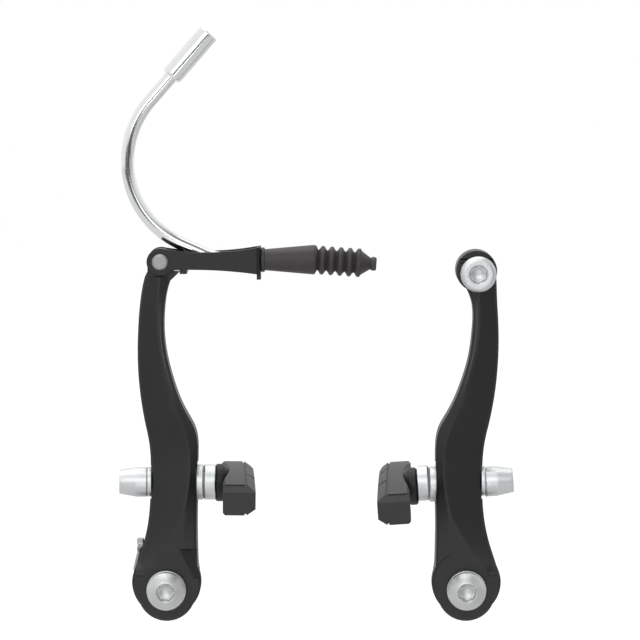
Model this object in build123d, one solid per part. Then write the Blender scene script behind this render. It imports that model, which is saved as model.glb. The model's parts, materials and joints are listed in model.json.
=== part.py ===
from build123d import *
import os
from math import cos, degrees, pi, radians, sin, sqrt

# A linear-pull bicycle rim brake: a pair of sprung arms that turn on the frame's two bosses.
# Millimetres. X runs from the left arm to the right arm, +Y towards the frame, +Z up.
# The origin is midway between the two pivots, level with them, in the plane of the boss shoulders.
# One side is drawn with its pivot at X = 0 and the wheel on its +X side, then placed or mirrored.

# Pivots
PIVOT_SPACING = 96.0
STUD_DIAMETER = 8.0
STUD_CLEARANCE = 0.05
BUSH_WALL = 0.95
BUSH_LENGTH = 17.0
RUNNING_CLEARANCE = 0.03
SEAT_CLEARANCE = 0.02
FACE_CLEARANCE = 0.4

# Pivot bolt and its washer
BOLT_THREAD_DIAMETER = 6.0
BOLT_THREAD_LENGTH = 15.5
BOLT_SHOULDER_DIAMETER = 6.8
BOLT_HEAD_DIAMETER = 12.2
BOLT_HEAD_HEIGHT = 5.0
BOLT_CROWN_RADIUS = 7.4
PIVOT_WASHER_DIAMETER = 12.6
PIVOT_WASHER_THICKNESS = 2.0
SOCKET_ACROSS_FLATS = 5.0
SOCKET_DEPTH = 3.0

# Return spring and the plate that anchors it
SPRING_WIRE_DIAMETER = 1.4
SPRING_COIL_DIAMETER = 13.2
SPRING_TURNS = 1.75
SPRING_GAP = 0.2
SPRING_BEND_RADIUS = 1.8
SPRING_LEG_LENGTH = 16.0
SPRING_CHANNEL_CLEARANCE = 0.3
PLATE_THICKNESS = 2.0
PLATE_DIAMETER = 17.0
PEG_REACH = 11.5
PEG_DIAMETER = 2.4
PEG_LENGTH = 4.0

# Arms
ARM_LENGTH = 104.8
POST_HEIGHT = 33.5
LOBE_DIAMETER = 22.1
LOBE_RISE = 2.1
LOBE_FOOT_DIAMETER = 18.5
LOBE_FOOT_DROP = 1.2
LOBE_CHAMFER = 0.8
LOBE_DRAFT = 0.8
LEAN = 0.0125
BLADE_BACK = 4.2
BLADE_FRONT = 13.8
CREST_WIDTH = 0.8
EDGE_BREAK = 0.7
OUTER_FACET_AT_PIVOT = 4.6
OUTER_FACET_AT_TIP = 1.7
INNER_FACET_AT_PIVOT = 0.9
INNER_FACET_AT_TIP = 1.5
CREST_OVER_BOSS = 0.4
FACE_RUNOUT_START = 14.0
FACE_RUNOUT_END = 57.0
FACET_FOOT = 3.9
FACET_FOOT_REACH = 6.9
FACET_FOOT_RISE = 3.0
BEVEL_TOP = 13.0
BEVEL_TOP_REACH = 4.1
BEVEL_FOOT = 3.5
BEVEL_FOOT_REACH = 8.7
BEVEL_SLOPE = 36.0
COIL_CLEARANCE = 0.6

# Stations of the arm: share of its stretch, then the outer edge, the inner edge and the ridge.
# The first stretch runs from the pivot to the pad post, the second from the post to the arm's end.
BELOW_POST = (
    (0.131, -10.5, 10.2, -6.7),
    (0.281, -9.1, 9.7, -2.8),
    (0.442, -7.4, 9.6, 1.0),
    (0.657, -5.9, 9.6, 4.5),
    (1.000, -5.2, 9.75, 6.9),
)
ABOVE_POST = (
    (0.11, -5.3, 9.85, 7.2),
    (0.20, -6.05, 9.65, 6.3),
    (0.26, -7.0, 8.4, 4.9),
    (0.33, -8.0, 5.6, 2.9),
    (0.44, -9.1, 2.3, 0.4),
    (0.58, -9.7, -0.4, -2.0),
    (0.72, -9.5, -1.4, -3.1),
)
# Ends of the two arms: share of the arm's length, then the same three places
LINK_NECK = (
    (0.867, -9.05, -1.15, -3.2),
    (0.915, -8.4, -0.35, -3.0),
    (0.954, -7.5, 1.1, -2.8),
)
ANCHOR_NECK = (
    (0.867, -9.05, -1.1, -3.0),
    (0.915, -8.75, 0.8, -2.8),
    (0.954, -8.5, 2.6, -2.6),
)

# Pad post, its two pairs of swivel washers and the barrel nut
POST_DIAMETER = 6.0
POST_DEPTH = 7.7
POST_CLEARANCE = 0.4
POST_TRAVEL = 4.0
SLOT_SEAT_INNER = 9.5
SLOT_SEAT_OUTER = 5.0
SEAT_MARGIN = 1.6
WASHER_DIAMETER = 11.4
WASHER_BORE_CLEARANCE = 1.1
WASHER_SLIDE = 0.5
CUP_THICKNESS = 2.0
CUP_RIM = 0.7
DOME_RADIUS = 9.0
DOME_CLEARANCE = 0.05
DOME_SEAT_CLEARANCE = 0.08
DOME_FLAT = 5.2
OUTER_CUP_THICKNESS = 1.2
OUTER_CUP_RIM = 0.4
OUTER_DOME_RIM = 0.5
NUT_DIAMETER = 9.6
NUT_END_DIAMETER = 7.7
NUT_LENGTH = 8.7
NUT_TAPER_LENGTH = 5.5
NUT_THREAD_LENGTH = 4.6
NUT_SOCKET_DEPTH = 3.6

# How each pad is aimed on its swivel washers, in degrees: toe towards the rim at the front end,
# dip towards the wheel, and pitch about the post; and how far its post has been slid down its slot
PAD_AIM = {
    "left": (2.3, 0.8, -1.2),
    "right": (2.3, 4.0, 1.4),
}
POST_SLIDE = {
    "left": 0.2,
    "right": 0.6,
}

# Brake pad, curved about the wheel's axle
PAD_LENGTH = 62.0
PAD_HEIGHT = 9.4
PAD_THICKNESS = 10.2
PAD_CURVE_RADIUS = 300.0
PAD_FACE_CHAMFER = 2.8
PAD_FACE_CHAMFER_HEIGHT = 2.0
PAD_BACK_CHAMFER = 0.7
PAD_FLANGE_DIAMETER = 12.1
PAD_FLANGE_THICKNESS = 2.3
PAD_FLANGE_CHAMFER = 0.6
PAD_WAIST_DEPTH = 2.2
PAD_WAIST_LENGTH = 46.0
PAD_TAPER_LENGTH = 10.0
PAD_TAPER_DEPTH = 0.9
PAD_NOSE_CHAMFER = 2.3
WEAR_LINE_WIDTH = 0.6
WEAR_LINE_DEPTH = 0.5
WATER_GROOVE_WIDTH = 1.5
WATER_GROOVE_DEPTH = 2.5
WATER_GROOVE_SPACING = 20.5
WATER_GROOVE_COUNT = 2
POST_IN_PAD = 5.0

# Spring tension screw, on the left arm
SCREW_HEIGHT = 13.0
SCREW_DEPTH = 8.2
SCREW_HEAD_DIAMETER = 4.5
SCREW_HEAD_LENGTH = 2.1
SCREW_THREAD_DIAMETER = 2.5
SCREW_THREAD_LENGTH = 5.0
SCREW_SEAT = 7.7
SCREW_SLOT_WIDTH = 0.7
SCREW_SLOT_DEPTH = 0.8

# Noodle link, folded from sheet and riveted to the left arm's end
LINK_PIN_OFFSET = -1.7
SHOULDER_REACH = 4.2
SHOULDER_DROP = 3.4
SHOULDER_HEIGHT = 2.2
LINK_PIN_DIAMETER = 4.0
RIVET_HEAD_DIAMETER = 5.3
RIVET_HEAD_HEIGHT = 1.1
LINK_SHEET = 1.3
LINK_CLEARANCE = 0.3
TONGUE_THICKNESS = 6.0
TONGUE_RADIUS = 4.1
LINK_LOBE_RADIUS = 4.3
LINK_REACH = 32.0
LINK_WAIST_TOP = 3.1
LINK_WAIST_BOTTOM = 2.6
LINK_END_TOP = 4.8
LINK_END_BOTTOM = 4.1
LINK_FOLD_RADIUS = 1.6
LINK_END_TAB = 1.6
STOP_TAB_LENGTH = 2.3
STOP_TAB_DROP = 1.2
STOP_GAP = 0.3
CABLE_SLOT_WIDTH = 2.2

# Noodle: a bent steel tube that guides the cable, with a ferrule for the cable housing
TUBE_DIAMETER = 4.2
TUBE_BORE = 2.4
TIP_DIAMETER = 3.2
TIP_LENGTH = 3.6
TIP_CLEARANCE = 0.15
NOODLE_RISE = 0.45
NOODLE_BEND_RADIUS = 28.8
NOODLE_FOOT_RADIUS = 25.0
NOODLE_FOOT_ANGLE = 24.0
NOODLE_FOOT_RUN = 7.2
NOODLE_END_RUN = 7.3
NOODLE_EXIT_ANGLE = 48.9
NOODLE_NECK = 10.5
FERRULE_DIAMETER = 6.6
FERRULE_LENGTH = 18.4
HOUSING_BORE = 5.2
HOUSING_DEPTH = 13.0
TUBE_IN_FERRULE = 4.0

# Rubber boot over the cable
BOOT_GAP = 0.05
BOOT_DROOP = 4.0
BOOT_COLLAR_DIAMETER = 7.9
BOOT_COLLAR_LENGTH = 1.2
BOOT_NECK_DIAMETER = 6.8
BOOT_BODY_DIAMETER = 9.5
BOOT_BODY_LENGTH = 15.8
BOOT_SHOULDER = 1.1
BOOT_RING_COUNT = 5
BOOT_RING_PITCH = 2.9
BOOT_RING_DIAMETER = 9.3
BOOT_VALLEY_DIAMETER = 6.4
BOOT_RING_FLAT = 0.5
BOOT_CONE_LENGTH = 3.9
BOOT_TIP_DIAMETER = 4.4
BOOT_TIP_LENGTH = 1.8
BOOT_BORE = 4.6
BOOT_TIP_BORE = 2.0

# Cable anchor on the right arm
ANCHOR_OFFSET = -3.4
ANCHOR_DROP = 3.7
ANCHOR_LOBE_DIAMETER = 13.0
ANCHOR_LOBE_SHIFT = 0.4
ANCHOR_LOBE_RISE = 0.8
ANCHOR_LOBE_FRONT = 13.2
ANCHOR_WASHER_DIAMETER = 10.9
ANCHOR_WASHER_THICKNESS = 1.0
ANCHOR_HEAD_DIAMETER = 11.3
ANCHOR_HEAD_HEIGHT = 3.6
ANCHOR_HEAD_CHAMFER = 0.9
ANCHOR_THREAD_DIAMETER = 6.0
CABLE_GROOVE_DIAMETER = 1.7
CABLE_GROOVE_RISE = 4.0

# Depths towards the viewer, measured from the boss shoulders, and radii that follow from the above
BUSH_BORE_RADIUS = STUD_DIAMETER / 2 + STUD_CLEARANCE
BUSH_RADIUS = BUSH_BORE_RADIUS + BUSH_WALL
ARM_BORE_RADIUS = BUSH_RADIUS + RUNNING_CLEARANCE
BOSS_BACK = PLATE_THICKNESS + FACE_CLEARANCE
BOSS_FRONT = BUSH_LENGTH - FACE_CLEARANCE
COIL_RADIUS = SPRING_COIL_DIAMETER / 2
COIL_PITCH = SPRING_WIRE_DIAMETER + SPRING_GAP
COIL_START = PLATE_THICKNESS + SPRING_WIRE_DIAMETER / 2 + SPRING_GAP
COIL_DEPTH = COIL_START + SPRING_TURNS * COIL_PITCH
COIL_POCKET_RADIUS = COIL_RADIUS + SPRING_WIRE_DIAMETER / 2 + COIL_CLEARANCE
COIL_POCKET_DEPTH = COIL_DEPTH + SPRING_WIRE_DIAMETER / 2 + COIL_CLEARANCE
ARM_MIDDLE = (BLADE_BACK + BLADE_FRONT) / 2
LINK_HALF_GAP = TONGUE_THICKNESS / 2 + LINK_CLEARANCE
LINK_HALF_WIDTH = LINK_HALF_GAP + LINK_SHEET
LINK_END = LINK_PIN_OFFSET + LINK_REACH
LINK_WALL = LINK_END - LINK_SHEET
NOODLE_HEIGHT = ARM_LENGTH + NOODLE_RISE
WASHER_BORE_RADIUS = POST_DIAMETER / 2 + WASHER_BORE_CLEARANCE
CUP_FACE = SLOT_SEAT_INNER + CUP_THICKNESS
DOME_CENTRE = CUP_FACE + sqrt(DOME_RADIUS**2 - (WASHER_DIAMETER / 2 - CUP_RIM) ** 2)
PAD_SEAT = CUP_FACE + DOME_FLAT - CUP_THICKNESS + CUP_RIM
PAD_BACK = PAD_SEAT + PAD_FLANGE_THICKNESS
PAD_FACE = PAD_BACK + PAD_THICKNESS
OUTER_CUP_FACE = -SLOT_SEAT_OUTER - OUTER_CUP_THICKNESS
OUTER_DOME_CENTRE = OUTER_CUP_FACE - sqrt(DOME_RADIUS**2 - (NUT_DIAMETER / 2 - OUTER_CUP_RIM) ** 2)
NUT_SEAT = OUTER_CUP_FACE - OUTER_DOME_RIM
SWIVEL_CENTRE = (SLOT_SEAT_INNER - SLOT_SEAT_OUTER) / 2
ANCHOR_HEIGHT = ARM_LENGTH - ANCHOR_DROP


def between(low, high, share):
    """Value at a share of the way from low to high."""
    return low + (high - low) * share


def turned(profile, origin, direction):
    """Solid of revolution from (distance along the axis, radius) points."""
    outline = Polyline(*[(radius, 0, along) for along, radius in profile], close=True)
    return Plane(origin=origin, z_dir=direction) * revolve(make_face(outline), Axis.Z)


def disc(diameter, start, end, origin, direction):
    """Cylinder between two distances along an axis."""
    radius = diameter / 2
    return turned(((start, 0), (start, radius), (end, radius), (end, 0)), origin, direction)


def ring(outer, inner, start, end, origin, direction):
    """Flat ring between two distances along an axis."""
    outer_radius = outer / 2
    inner_radius = inner / 2
    profile = ((start, inner_radius), (start, outer_radius), (end, outer_radius), (end, inner_radius))
    return turned(profile, origin, direction)


def hex_socket(start, depth, origin, direction):
    """Hexagonal key socket, to be cut from a face at a distance along an axis."""
    sketch = RegularPolygon(SOCKET_ACROSS_FLATS / 2, 6, major_radius=False)
    plane = Plane(origin=origin, z_dir=direction)
    return plane * Pos(0, 0, start - depth) * extrude(sketch, 2 * depth)


FRONT = (0, -1, 0)
INWARD = (1, 0, 0)
PIVOT = (0, 0, 0)
POST_AXIS = (0, -POST_DEPTH, POST_HEIGHT)
ANCHOR_AXIS = (ANCHOR_OFFSET, 0, ANCHOR_HEIGHT)
ANCHOR_LOBE_AXIS = (ANCHOR_OFFSET + ANCHOR_LOBE_SHIFT, 0, ANCHOR_HEIGHT + ANCHOR_LOBE_RISE)
LINK_PIN = (LINK_PIN_OFFSET, 0, ARM_LENGTH)


def pivot_bush():
    """Steel bush that is clamped on the frame's stud."""
    return ring(2 * BUSH_RADIUS, 2 * BUSH_BORE_RADIUS, 0, BUSH_LENGTH, PIVOT, FRONT)


def pivot_washer():
    """Washer between the bush's end and the bolt's head."""
    bore = BOLT_SHOULDER_DIAMETER + 2 * SEAT_CLEARANCE
    return ring(PIVOT_WASHER_DIAMETER, bore, BUSH_LENGTH, BUSH_LENGTH + PIVOT_WASHER_THICKNESS, PIVOT, FRONT)


def pivot_bolt():
    """Round-headed bolt with a key socket; its thread enters the frame's stud."""
    seat = BUSH_LENGTH + PIVOT_WASHER_THICKNESS
    top = seat + BOLT_HEAD_HEIGHT
    head = disc(BOLT_HEAD_DIAMETER, seat, top, PIVOT, FRONT)
    crown = Plane(origin=(0, BOLT_CROWN_RADIUS - top, 0), z_dir=FRONT) * Sphere(BOLT_CROWN_RADIUS)
    shoulder = disc(BOLT_SHOULDER_DIAMETER, BUSH_LENGTH, seat, PIVOT, FRONT)
    thread = disc(BOLT_THREAD_DIAMETER, BUSH_LENGTH - BOLT_THREAD_LENGTH, BUSH_LENGTH, PIVOT, FRONT)
    return (head & crown) + shoulder + thread - hex_socket(top, SOCKET_DEPTH, PIVOT, FRONT)


def spring_plate():
    """Plate behind the arm; its peg enters the hole beside the frame's stud."""
    bore = 2 * (BUSH_RADIUS + SEAT_CLEARANCE)
    plate = ring(PLATE_DIAMETER, bore, 0, PLATE_THICKNESS, PIVOT, FRONT)
    peg_centre = (0, 0, PEG_REACH)
    ear = disc(2 * PEG_DIAMETER, 0, PLATE_THICKNESS, peg_centre, FRONT)
    neck_length = PEG_REACH - BUSH_RADIUS - SEAT_CLEARANCE
    neck = Pos(0, -PLATE_THICKNESS / 2, PEG_REACH - neck_length / 2)
    neck *= Box(2 * PEG_DIAMETER, PLATE_THICKNESS, neck_length)
    neck -= disc(bore, 0, PLATE_THICKNESS, PIVOT, FRONT)
    peg = disc(PEG_DIAMETER, -PEG_LENGTH, PLATE_THICKNESS, peg_centre, FRONT)
    return plate + ear + neck + peg


def spring_leg(side):
    """Corner points of the spring's leg, from the coil to where it bears on the arm."""
    start = (-COIL_RADIUS, 0)
    if side == "right":
        return (start, (-COIL_RADIUS, SPRING_LEG_LENGTH))
    wire = SPRING_WIRE_DIAMETER / 2
    low = LOBE_RISE + SPRING_BEND_RADIUS / 2
    outside = LOBE_DIAMETER / 2 - LOBE_DRAFT + wire + SPRING_GAP
    top = SCREW_HEIGHT - SCREW_HEAD_DIAMETER / 2 - SPRING_GAP
    return (start, (-COIL_RADIUS, low), (-outside, low), (-SCREW_SEAT - 2 * wire - SPRING_GAP, top))


def spring_leg_bar(side, diameter):
    """Round bar along the spring's leg."""
    corners = [(x, -COIL_START, z) for x, z in spring_leg(side)]
    if len(corners) == 2:
        return tube_along([Line(*corners)], diameter)
    return tube_along(FilletPolyline(*corners, radius=SPRING_BEND_RADIUS).edges(), diameter)


def return_spring(side):
    """Torsion spring: a coil round the bush, and a leg that bears on the arm."""
    coil_path = Helix(pitch=COIL_PITCH, height=COIL_PITCH * SPRING_TURNS, radius=COIL_RADIUS)
    section = Plane(origin=coil_path @ 0, z_dir=coil_path % 0) * RegularPolygon(SPRING_WIRE_DIAMETER / 2, 8)
    coil = sweep(section, path=coil_path, is_frenet=True)
    turn = Plane(origin=(0, -COIL_START, 0), x_dir=(-1, 0, 0), z_dir=FRONT)
    return turn * coil + spring_leg_bar(side, SPRING_WIRE_DIAMETER)


def arm_section(height, outer, inner, ridge):
    """Level cross-section of an arm: flat back, sides, and two facets that meet at the ridge."""
    share = height / ARM_LENGTH
    back = -between(BOSS_BACK, BLADE_BACK, share)
    runout = (height - FACE_RUNOUT_START) / (FACE_RUNOUT_END - FACE_RUNOUT_START)
    runout = min(max(runout, 0), 1)
    eased = runout * runout * (3 - 2 * runout)
    crest = -between(BOSS_FRONT + CREST_OVER_BOSS, BLADE_FRONT, eased)
    outer_front = crest + between(OUTER_FACET_AT_PIVOT, OUTER_FACET_AT_TIP, share)
    inner_front = crest + between(INNER_FACET_AT_PIVOT, INNER_FACET_AT_TIP, share)
    half_crest = CREST_WIDTH / 2
    corners = (
        (outer + EDGE_BREAK, back),
        (outer, back - EDGE_BREAK),
        (outer, outer_front + EDGE_BREAK),
        (outer + EDGE_BREAK, outer_front),
        (ridge - half_crest, crest),
        (ridge + half_crest, crest),
        (inner - EDGE_BREAK, inner_front),
        (inner, inner_front + EDGE_BREAK),
        (inner, back - EDGE_BREAK),
        (inner - EDGE_BREAK, back),
    )
    return make_face(Polyline(*[(x, y, height) for x, y in corners], close=True))


def leaned(height, edges, lean):
    """Station of a blade that leans sideways above the pad post."""
    shift = lean * max(0, height - POST_HEIGHT)
    return (height, *[edge + shift for edge in edges])


def pivot_boss():
    """Pivot boss: a round lobe drawn out towards its foot, with forging draft and broken edges."""
    depth = BOSS_FRONT - BOSS_BACK
    lobes = ((LOBE_RISE, LOBE_DIAMETER), (-LOBE_FOOT_DROP, LOBE_FOOT_DIAMETER))
    boss = None
    for height, diameter in lobes:
        radius = diameter / 2
        rim = radius - LOBE_CHAMFER
        profile = (
            (BOSS_BACK, 0),
            (BOSS_BACK, radius - LOBE_DRAFT - LOBE_CHAMFER / 2),
            (BOSS_BACK + LOBE_CHAMFER / 2, radius - LOBE_DRAFT),
            (BOSS_FRONT - depth / 3, radius),
            (BOSS_FRONT - LOBE_CHAMFER, radius),
            (BOSS_FRONT, rim),
            (BOSS_FRONT, 0),
        )
        lobe = turned(profile, (0, 0, height), FRONT)
        boss = lobe if boss is None else boss + lobe
    return boss


def lobe_bevel():
    """Wedge that bevels the boss where the blade's inner side runs into it."""
    top = Vector(BEVEL_TOP_REACH, -BOSS_FRONT, BEVEL_TOP)
    foot = Vector(BEVEL_FOOT_REACH, -BOSS_FRONT, BEVEL_FOOT)
    along = (foot - top).normalized()
    inward = Vector(-along.Z, 0, along.X)
    slope = radians(BEVEL_SLOPE)
    normal = inward * sin(slope) - Vector(0, 1, 0) * cos(slope)
    floor = Plane(origin=top, x_dir=along, z_dir=normal)
    reach = 2 * LOBE_DIAMETER
    wedge = floor * Pos(0, 0, reach / 2) * Box(reach, reach, reach)
    bounds = Polyline(
        (BEVEL_TOP_REACH, 0, BEVEL_TOP),
        (BEVEL_TOP_REACH + reach, 0, BEVEL_TOP),
        (BEVEL_TOP_REACH + reach, 0, BEVEL_FOOT),
        (BEVEL_FOOT_REACH, 0, BEVEL_FOOT),
        close=True,
    )
    return wedge & extrude(make_face(bounds), reach, both=True)


def arm_blank(extra_stations, lean):
    """Forged arm before machining: a blade lofted through its stations, and the pivot boss."""
    reach = ARM_LENGTH - POST_HEIGHT
    stations = [(share * POST_HEIGHT, edges) for share, *edges in BELOW_POST]
    stations += [(POST_HEIGHT + share * reach, edges) for share, *edges in ABOVE_POST]
    stations += [(share * ARM_LENGTH, edges) for share, *edges in extra_stations]
    blade = loft([arm_section(*leaned(height, edges, lean)) for height, edges in stations])
    # The outer facet runs down into the boss as far as its foot
    foot = Polyline(
        (-FACET_FOOT_REACH, 0, FACET_FOOT),
        (-LOBE_DIAMETER, 0, FACET_FOOT + FACET_FOOT_RISE),
        (-LOBE_DIAMETER, 0, LOBE_DIAMETER),
        (FACET_FOOT, 0, LOBE_DIAMETER),
        close=True,
    )
    facet = Pos(0, -BOSS_FRONT + OUTER_FACET_AT_PIVOT, 0)
    facet *= extrude(make_face(foot), LOBE_DIAMETER, dir=FRONT)
    return blade + (pivot_boss() - facet)


def machine_pivot(blank):
    """Face the boss, bore it for the bush and counterbore it for the spring's coil."""
    cutter = 4 * LOBE_DIAMETER
    face = Pos(0, -BOSS_FRONT - cutter / 2, 0) * Box(cutter, cutter, cutter)
    bore = disc(2 * ARM_BORE_RADIUS, 0, BOSS_FRONT + CREST_OVER_BOSS, PIVOT, FRONT)
    pocket = disc(2 * COIL_POCKET_RADIUS, 0, COIL_POCKET_DEPTH, PIVOT, FRONT)
    return blank - face - bore - pocket


def machine_post_slot(blank):
    """Slot for the pad post, with a flat seat for the washers on each side."""
    width = POST_DIAMETER + 2 * POST_CLEARANCE
    plane = Plane(origin=POST_AXIS, x_dir=(0, 0, 1), z_dir=INWARD)
    slot = plane * extrude(SlotOverall(width + POST_TRAVEL, width), LOBE_DIAMETER, both=True)
    inner_width = WASHER_DIAMETER + 2 * SEAT_MARGIN
    inner_seat = disc(inner_width, SLOT_SEAT_INNER, LOBE_DIAMETER, POST_AXIS, INWARD)
    outer_width = NUT_DIAMETER + 2 * SEAT_MARGIN
    outer_seat = disc(outer_width, -LOBE_DIAMETER, -SLOT_SEAT_OUTER, POST_AXIS, INWARD)
    return blank - slot - inner_seat - outer_seat


def spring_channel(side):
    """Channel for the spring's leg, to be cut from an arm's back."""
    return spring_leg_bar(side, SPRING_WIRE_DIAMETER + 2 * SPRING_CHANNEL_CLEARANCE)


def left_arm():
    """Arm that carries the noodle link on a tongue at its end, and the spring tension screw."""
    top = ARM_LENGTH - SHOULDER_DROP
    share, *edges = LINK_NECK[-1]
    height, outer, inner, _ = leaned(share * ARM_LENGTH, edges, LEAN)
    lip = Polyline(
        (outer, 0, height),
        (outer + EDGE_BREAK, 0, top),
        (SHOULDER_REACH, 0, top),
        (inner, 0, top - SHOULDER_HEIGHT),
        (LINK_PIN_OFFSET, 0, top - 2 * SHOULDER_HEIGHT),
        close=True,
    )
    lip_depth = BLADE_FRONT - INNER_FACET_AT_TIP - BLADE_BACK
    shoulder = Pos(0, -BLADE_BACK, 0) * extrude(make_face(lip), lip_depth, dir=FRONT)
    blank = arm_blank(LINK_NECK, LEAN) + shoulder - lobe_bevel()
    arm = machine_post_slot(machine_pivot(blank)) - spring_channel("left")
    swing = 2 * (LINK_LOBE_RADIUS + FACE_CLEARANCE)
    half = TONGUE_THICKNESS / 2
    arm -= disc(swing, 0, ARM_MIDDLE - half, LINK_PIN, FRONT)
    arm -= disc(swing, ARM_MIDDLE + half, 2 * BLADE_FRONT, LINK_PIN, FRONT)
    arm += disc(2 * TONGUE_RADIUS, ARM_MIDDLE - half, ARM_MIDDLE + half, LINK_PIN, FRONT)
    root = top - SHOULDER_HEIGHT / 2
    neck_height = ARM_LENGTH - root
    neck = Pos(LINK_PIN_OFFSET, -ARM_MIDDLE, root + neck_height / 2)
    arm += neck * Box(2 * TONGUE_RADIUS, TONGUE_THICKNESS, neck_height)
    pin_bore = LINK_PIN_DIAMETER + 2 * RUNNING_CLEARANCE
    arm -= disc(pin_bore, 0, 2 * BLADE_FRONT, LINK_PIN, FRONT)
    screw_axis = (0, -SCREW_DEPTH, SCREW_HEIGHT)
    screw_bore = SCREW_THREAD_DIAMETER + 2 * SEAT_CLEARANCE
    bore_end = SCREW_THREAD_LENGTH - SCREW_SEAT
    arm -= disc(screw_bore, -2 * SCREW_SEAT, bore_end, screw_axis, INWARD)
    arm -= disc(1.3 * SCREW_HEAD_DIAMETER, -2 * SCREW_SEAT, -SCREW_SEAT, screw_axis, INWARD)
    return arm


def right_arm():
    """Arm that ends in a round lobe for the cable anchor."""
    lobe = disc(ANCHOR_LOBE_DIAMETER, BLADE_BACK, ANCHOR_LOBE_FRONT, ANCHOR_LOBE_AXIS, FRONT)
    blank = arm_blank(ANCHOR_NECK, -LEAN) + lobe
    arm = machine_post_slot(machine_pivot(blank)) - spring_channel("right")
    seat = ANCHOR_WASHER_DIAMETER + 2 * FACE_CLEARANCE
    arm -= disc(seat, ANCHOR_LOBE_FRONT, 2 * BLADE_FRONT, ANCHOR_AXIS, FRONT)
    arm -= disc(ANCHOR_THREAD_DIAMETER + 2 * SEAT_CLEARANCE, 0, 2 * BLADE_FRONT, ANCHOR_AXIS, FRONT)
    groove_start = (0, -ANCHOR_LOBE_FRONT, ANCHOR_HEIGHT + CABLE_GROOVE_RISE)
    arm -= disc(CABLE_GROOVE_DIAMETER, -2 * ANCHOR_LOBE_DIAMETER, ANCHOR_LOBE_DIAMETER, groove_start, INWARD)
    return arm


def ball(radius, centre):
    """Ball on the post's axis, for the faces of the swivel washers."""
    return Plane(origin=(centre, -POST_DEPTH, POST_HEIGHT), z_dir=INWARD) * Sphere(radius)


def cup_washer():
    """Washer with a hollow face, seated on the arm."""
    blank = ring(WASHER_DIAMETER, 2 * WASHER_BORE_RADIUS, SLOT_SEAT_INNER, CUP_FACE, POST_AXIS, INWARD)
    return blank - ball(DOME_RADIUS + DOME_CLEARANCE, DOME_CENTRE)


def dome_washer():
    """Washer with a domed face that swivels in the cup, so the pad can be aimed."""
    seat = PAD_SEAT - DOME_SEAT_CLEARANCE
    blank = ring(WASHER_DIAMETER, 2 * WASHER_BORE_RADIUS, SLOT_SEAT_INNER, seat, POST_AXIS, INWARD)
    return blank & ball(DOME_RADIUS, DOME_CENTRE)


def outer_cup_washer():
    """Thinner hollow washer on the arm's outer side."""
    bore = 2 * WASHER_BORE_RADIUS
    blank = ring(NUT_DIAMETER, bore, OUTER_CUP_FACE, -SLOT_SEAT_OUTER, POST_AXIS, INWARD)
    return blank - ball(DOME_RADIUS + DOME_CLEARANCE, OUTER_DOME_CENTRE)


def outer_dome_washer():
    """Thinner domed washer under the nut."""
    seat = NUT_SEAT + DOME_SEAT_CLEARANCE
    blank = ring(NUT_DIAMETER, 2 * WASHER_BORE_RADIUS, seat, -SLOT_SEAT_OUTER, POST_AXIS, INWARD)
    return blank & ball(DOME_RADIUS, OUTER_DOME_CENTRE)


def pad_nut():
    """Long tapered nut with a key socket in its end."""
    end = NUT_SEAT - NUT_LENGTH
    profile = (
        (NUT_SEAT, 0),
        (NUT_SEAT, NUT_DIAMETER / 2),
        (end + NUT_TAPER_LENGTH, NUT_DIAMETER / 2),
        (end, NUT_END_DIAMETER / 2),
        (end, 0),
    )
    nut = turned(profile, POST_AXIS, INWARD)
    bore = POST_DIAMETER + 2 * SEAT_CLEARANCE
    thread = disc(bore, NUT_SEAT - NUT_THREAD_LENGTH, NUT_SEAT, POST_AXIS, INWARD)
    return nut - thread - hex_socket(end, NUT_SOCKET_DEPTH, POST_AXIS, INWARD)


def pad_post():
    """Threaded post moulded into the pad."""
    start = NUT_SEAT - NUT_THREAD_LENGTH + FACE_CLEARANCE
    return disc(POST_DIAMETER, start, PAD_BACK + POST_IN_PAD, POST_AXIS, INWARD)


def tilt(side):
    """Turn that aims a pad."""
    toe, dip, pitch = PAD_AIM[side]
    return Rot(0, dip, toe) * Rot(pitch, 0, 0)


def aimed(piece, side):
    """Piece tilted with the pad about the middle of the arm's slot, and slid down the slot with it."""
    centre = Pos(SWIVEL_CENTRE, -POST_DEPTH, POST_HEIGHT)
    return Pos(0, 0, -POST_SLIDE[side]) * centre * tilt(side) * centre.inverse() * piece


def slid(piece, ball_centre, side):
    """Washer slid on the arm's seat, part of the way that the tilted post has moved its ball centre."""
    moved = aimed(Pos(ball_centre, -POST_DEPTH, POST_HEIGHT), side).position
    share = WASHER_SLIDE
    return Pos(0, share * (moved.Y + POST_DEPTH), share * (moved.Z - POST_HEIGHT)) * piece


def swivelled(piece, ball_centre, side):
    """Dome washer slid with its cup, and tilted in it about their common ball centre."""
    centre = Pos(ball_centre, -POST_DEPTH, POST_HEIGHT)
    return slid(centre * tilt(side) * centre.inverse() * piece, ball_centre, side)


def bent_bar(corners):
    """Section in X and Z, swept along the pad's length about the wheel's axle."""
    outline = Polyline(*[(x, -POST_DEPTH, POST_HEIGHT + z) for x, z in corners], close=True)
    axle = Axis((0, -POST_DEPTH, POST_HEIGHT - PAD_CURVE_RADIUS), INWARD)
    sweep_angle = degrees(PAD_LENGTH / PAD_CURVE_RADIUS)
    return revolve(make_face(outline), axle, sweep_angle).rotate(axle, -sweep_angle / 2)


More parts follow.
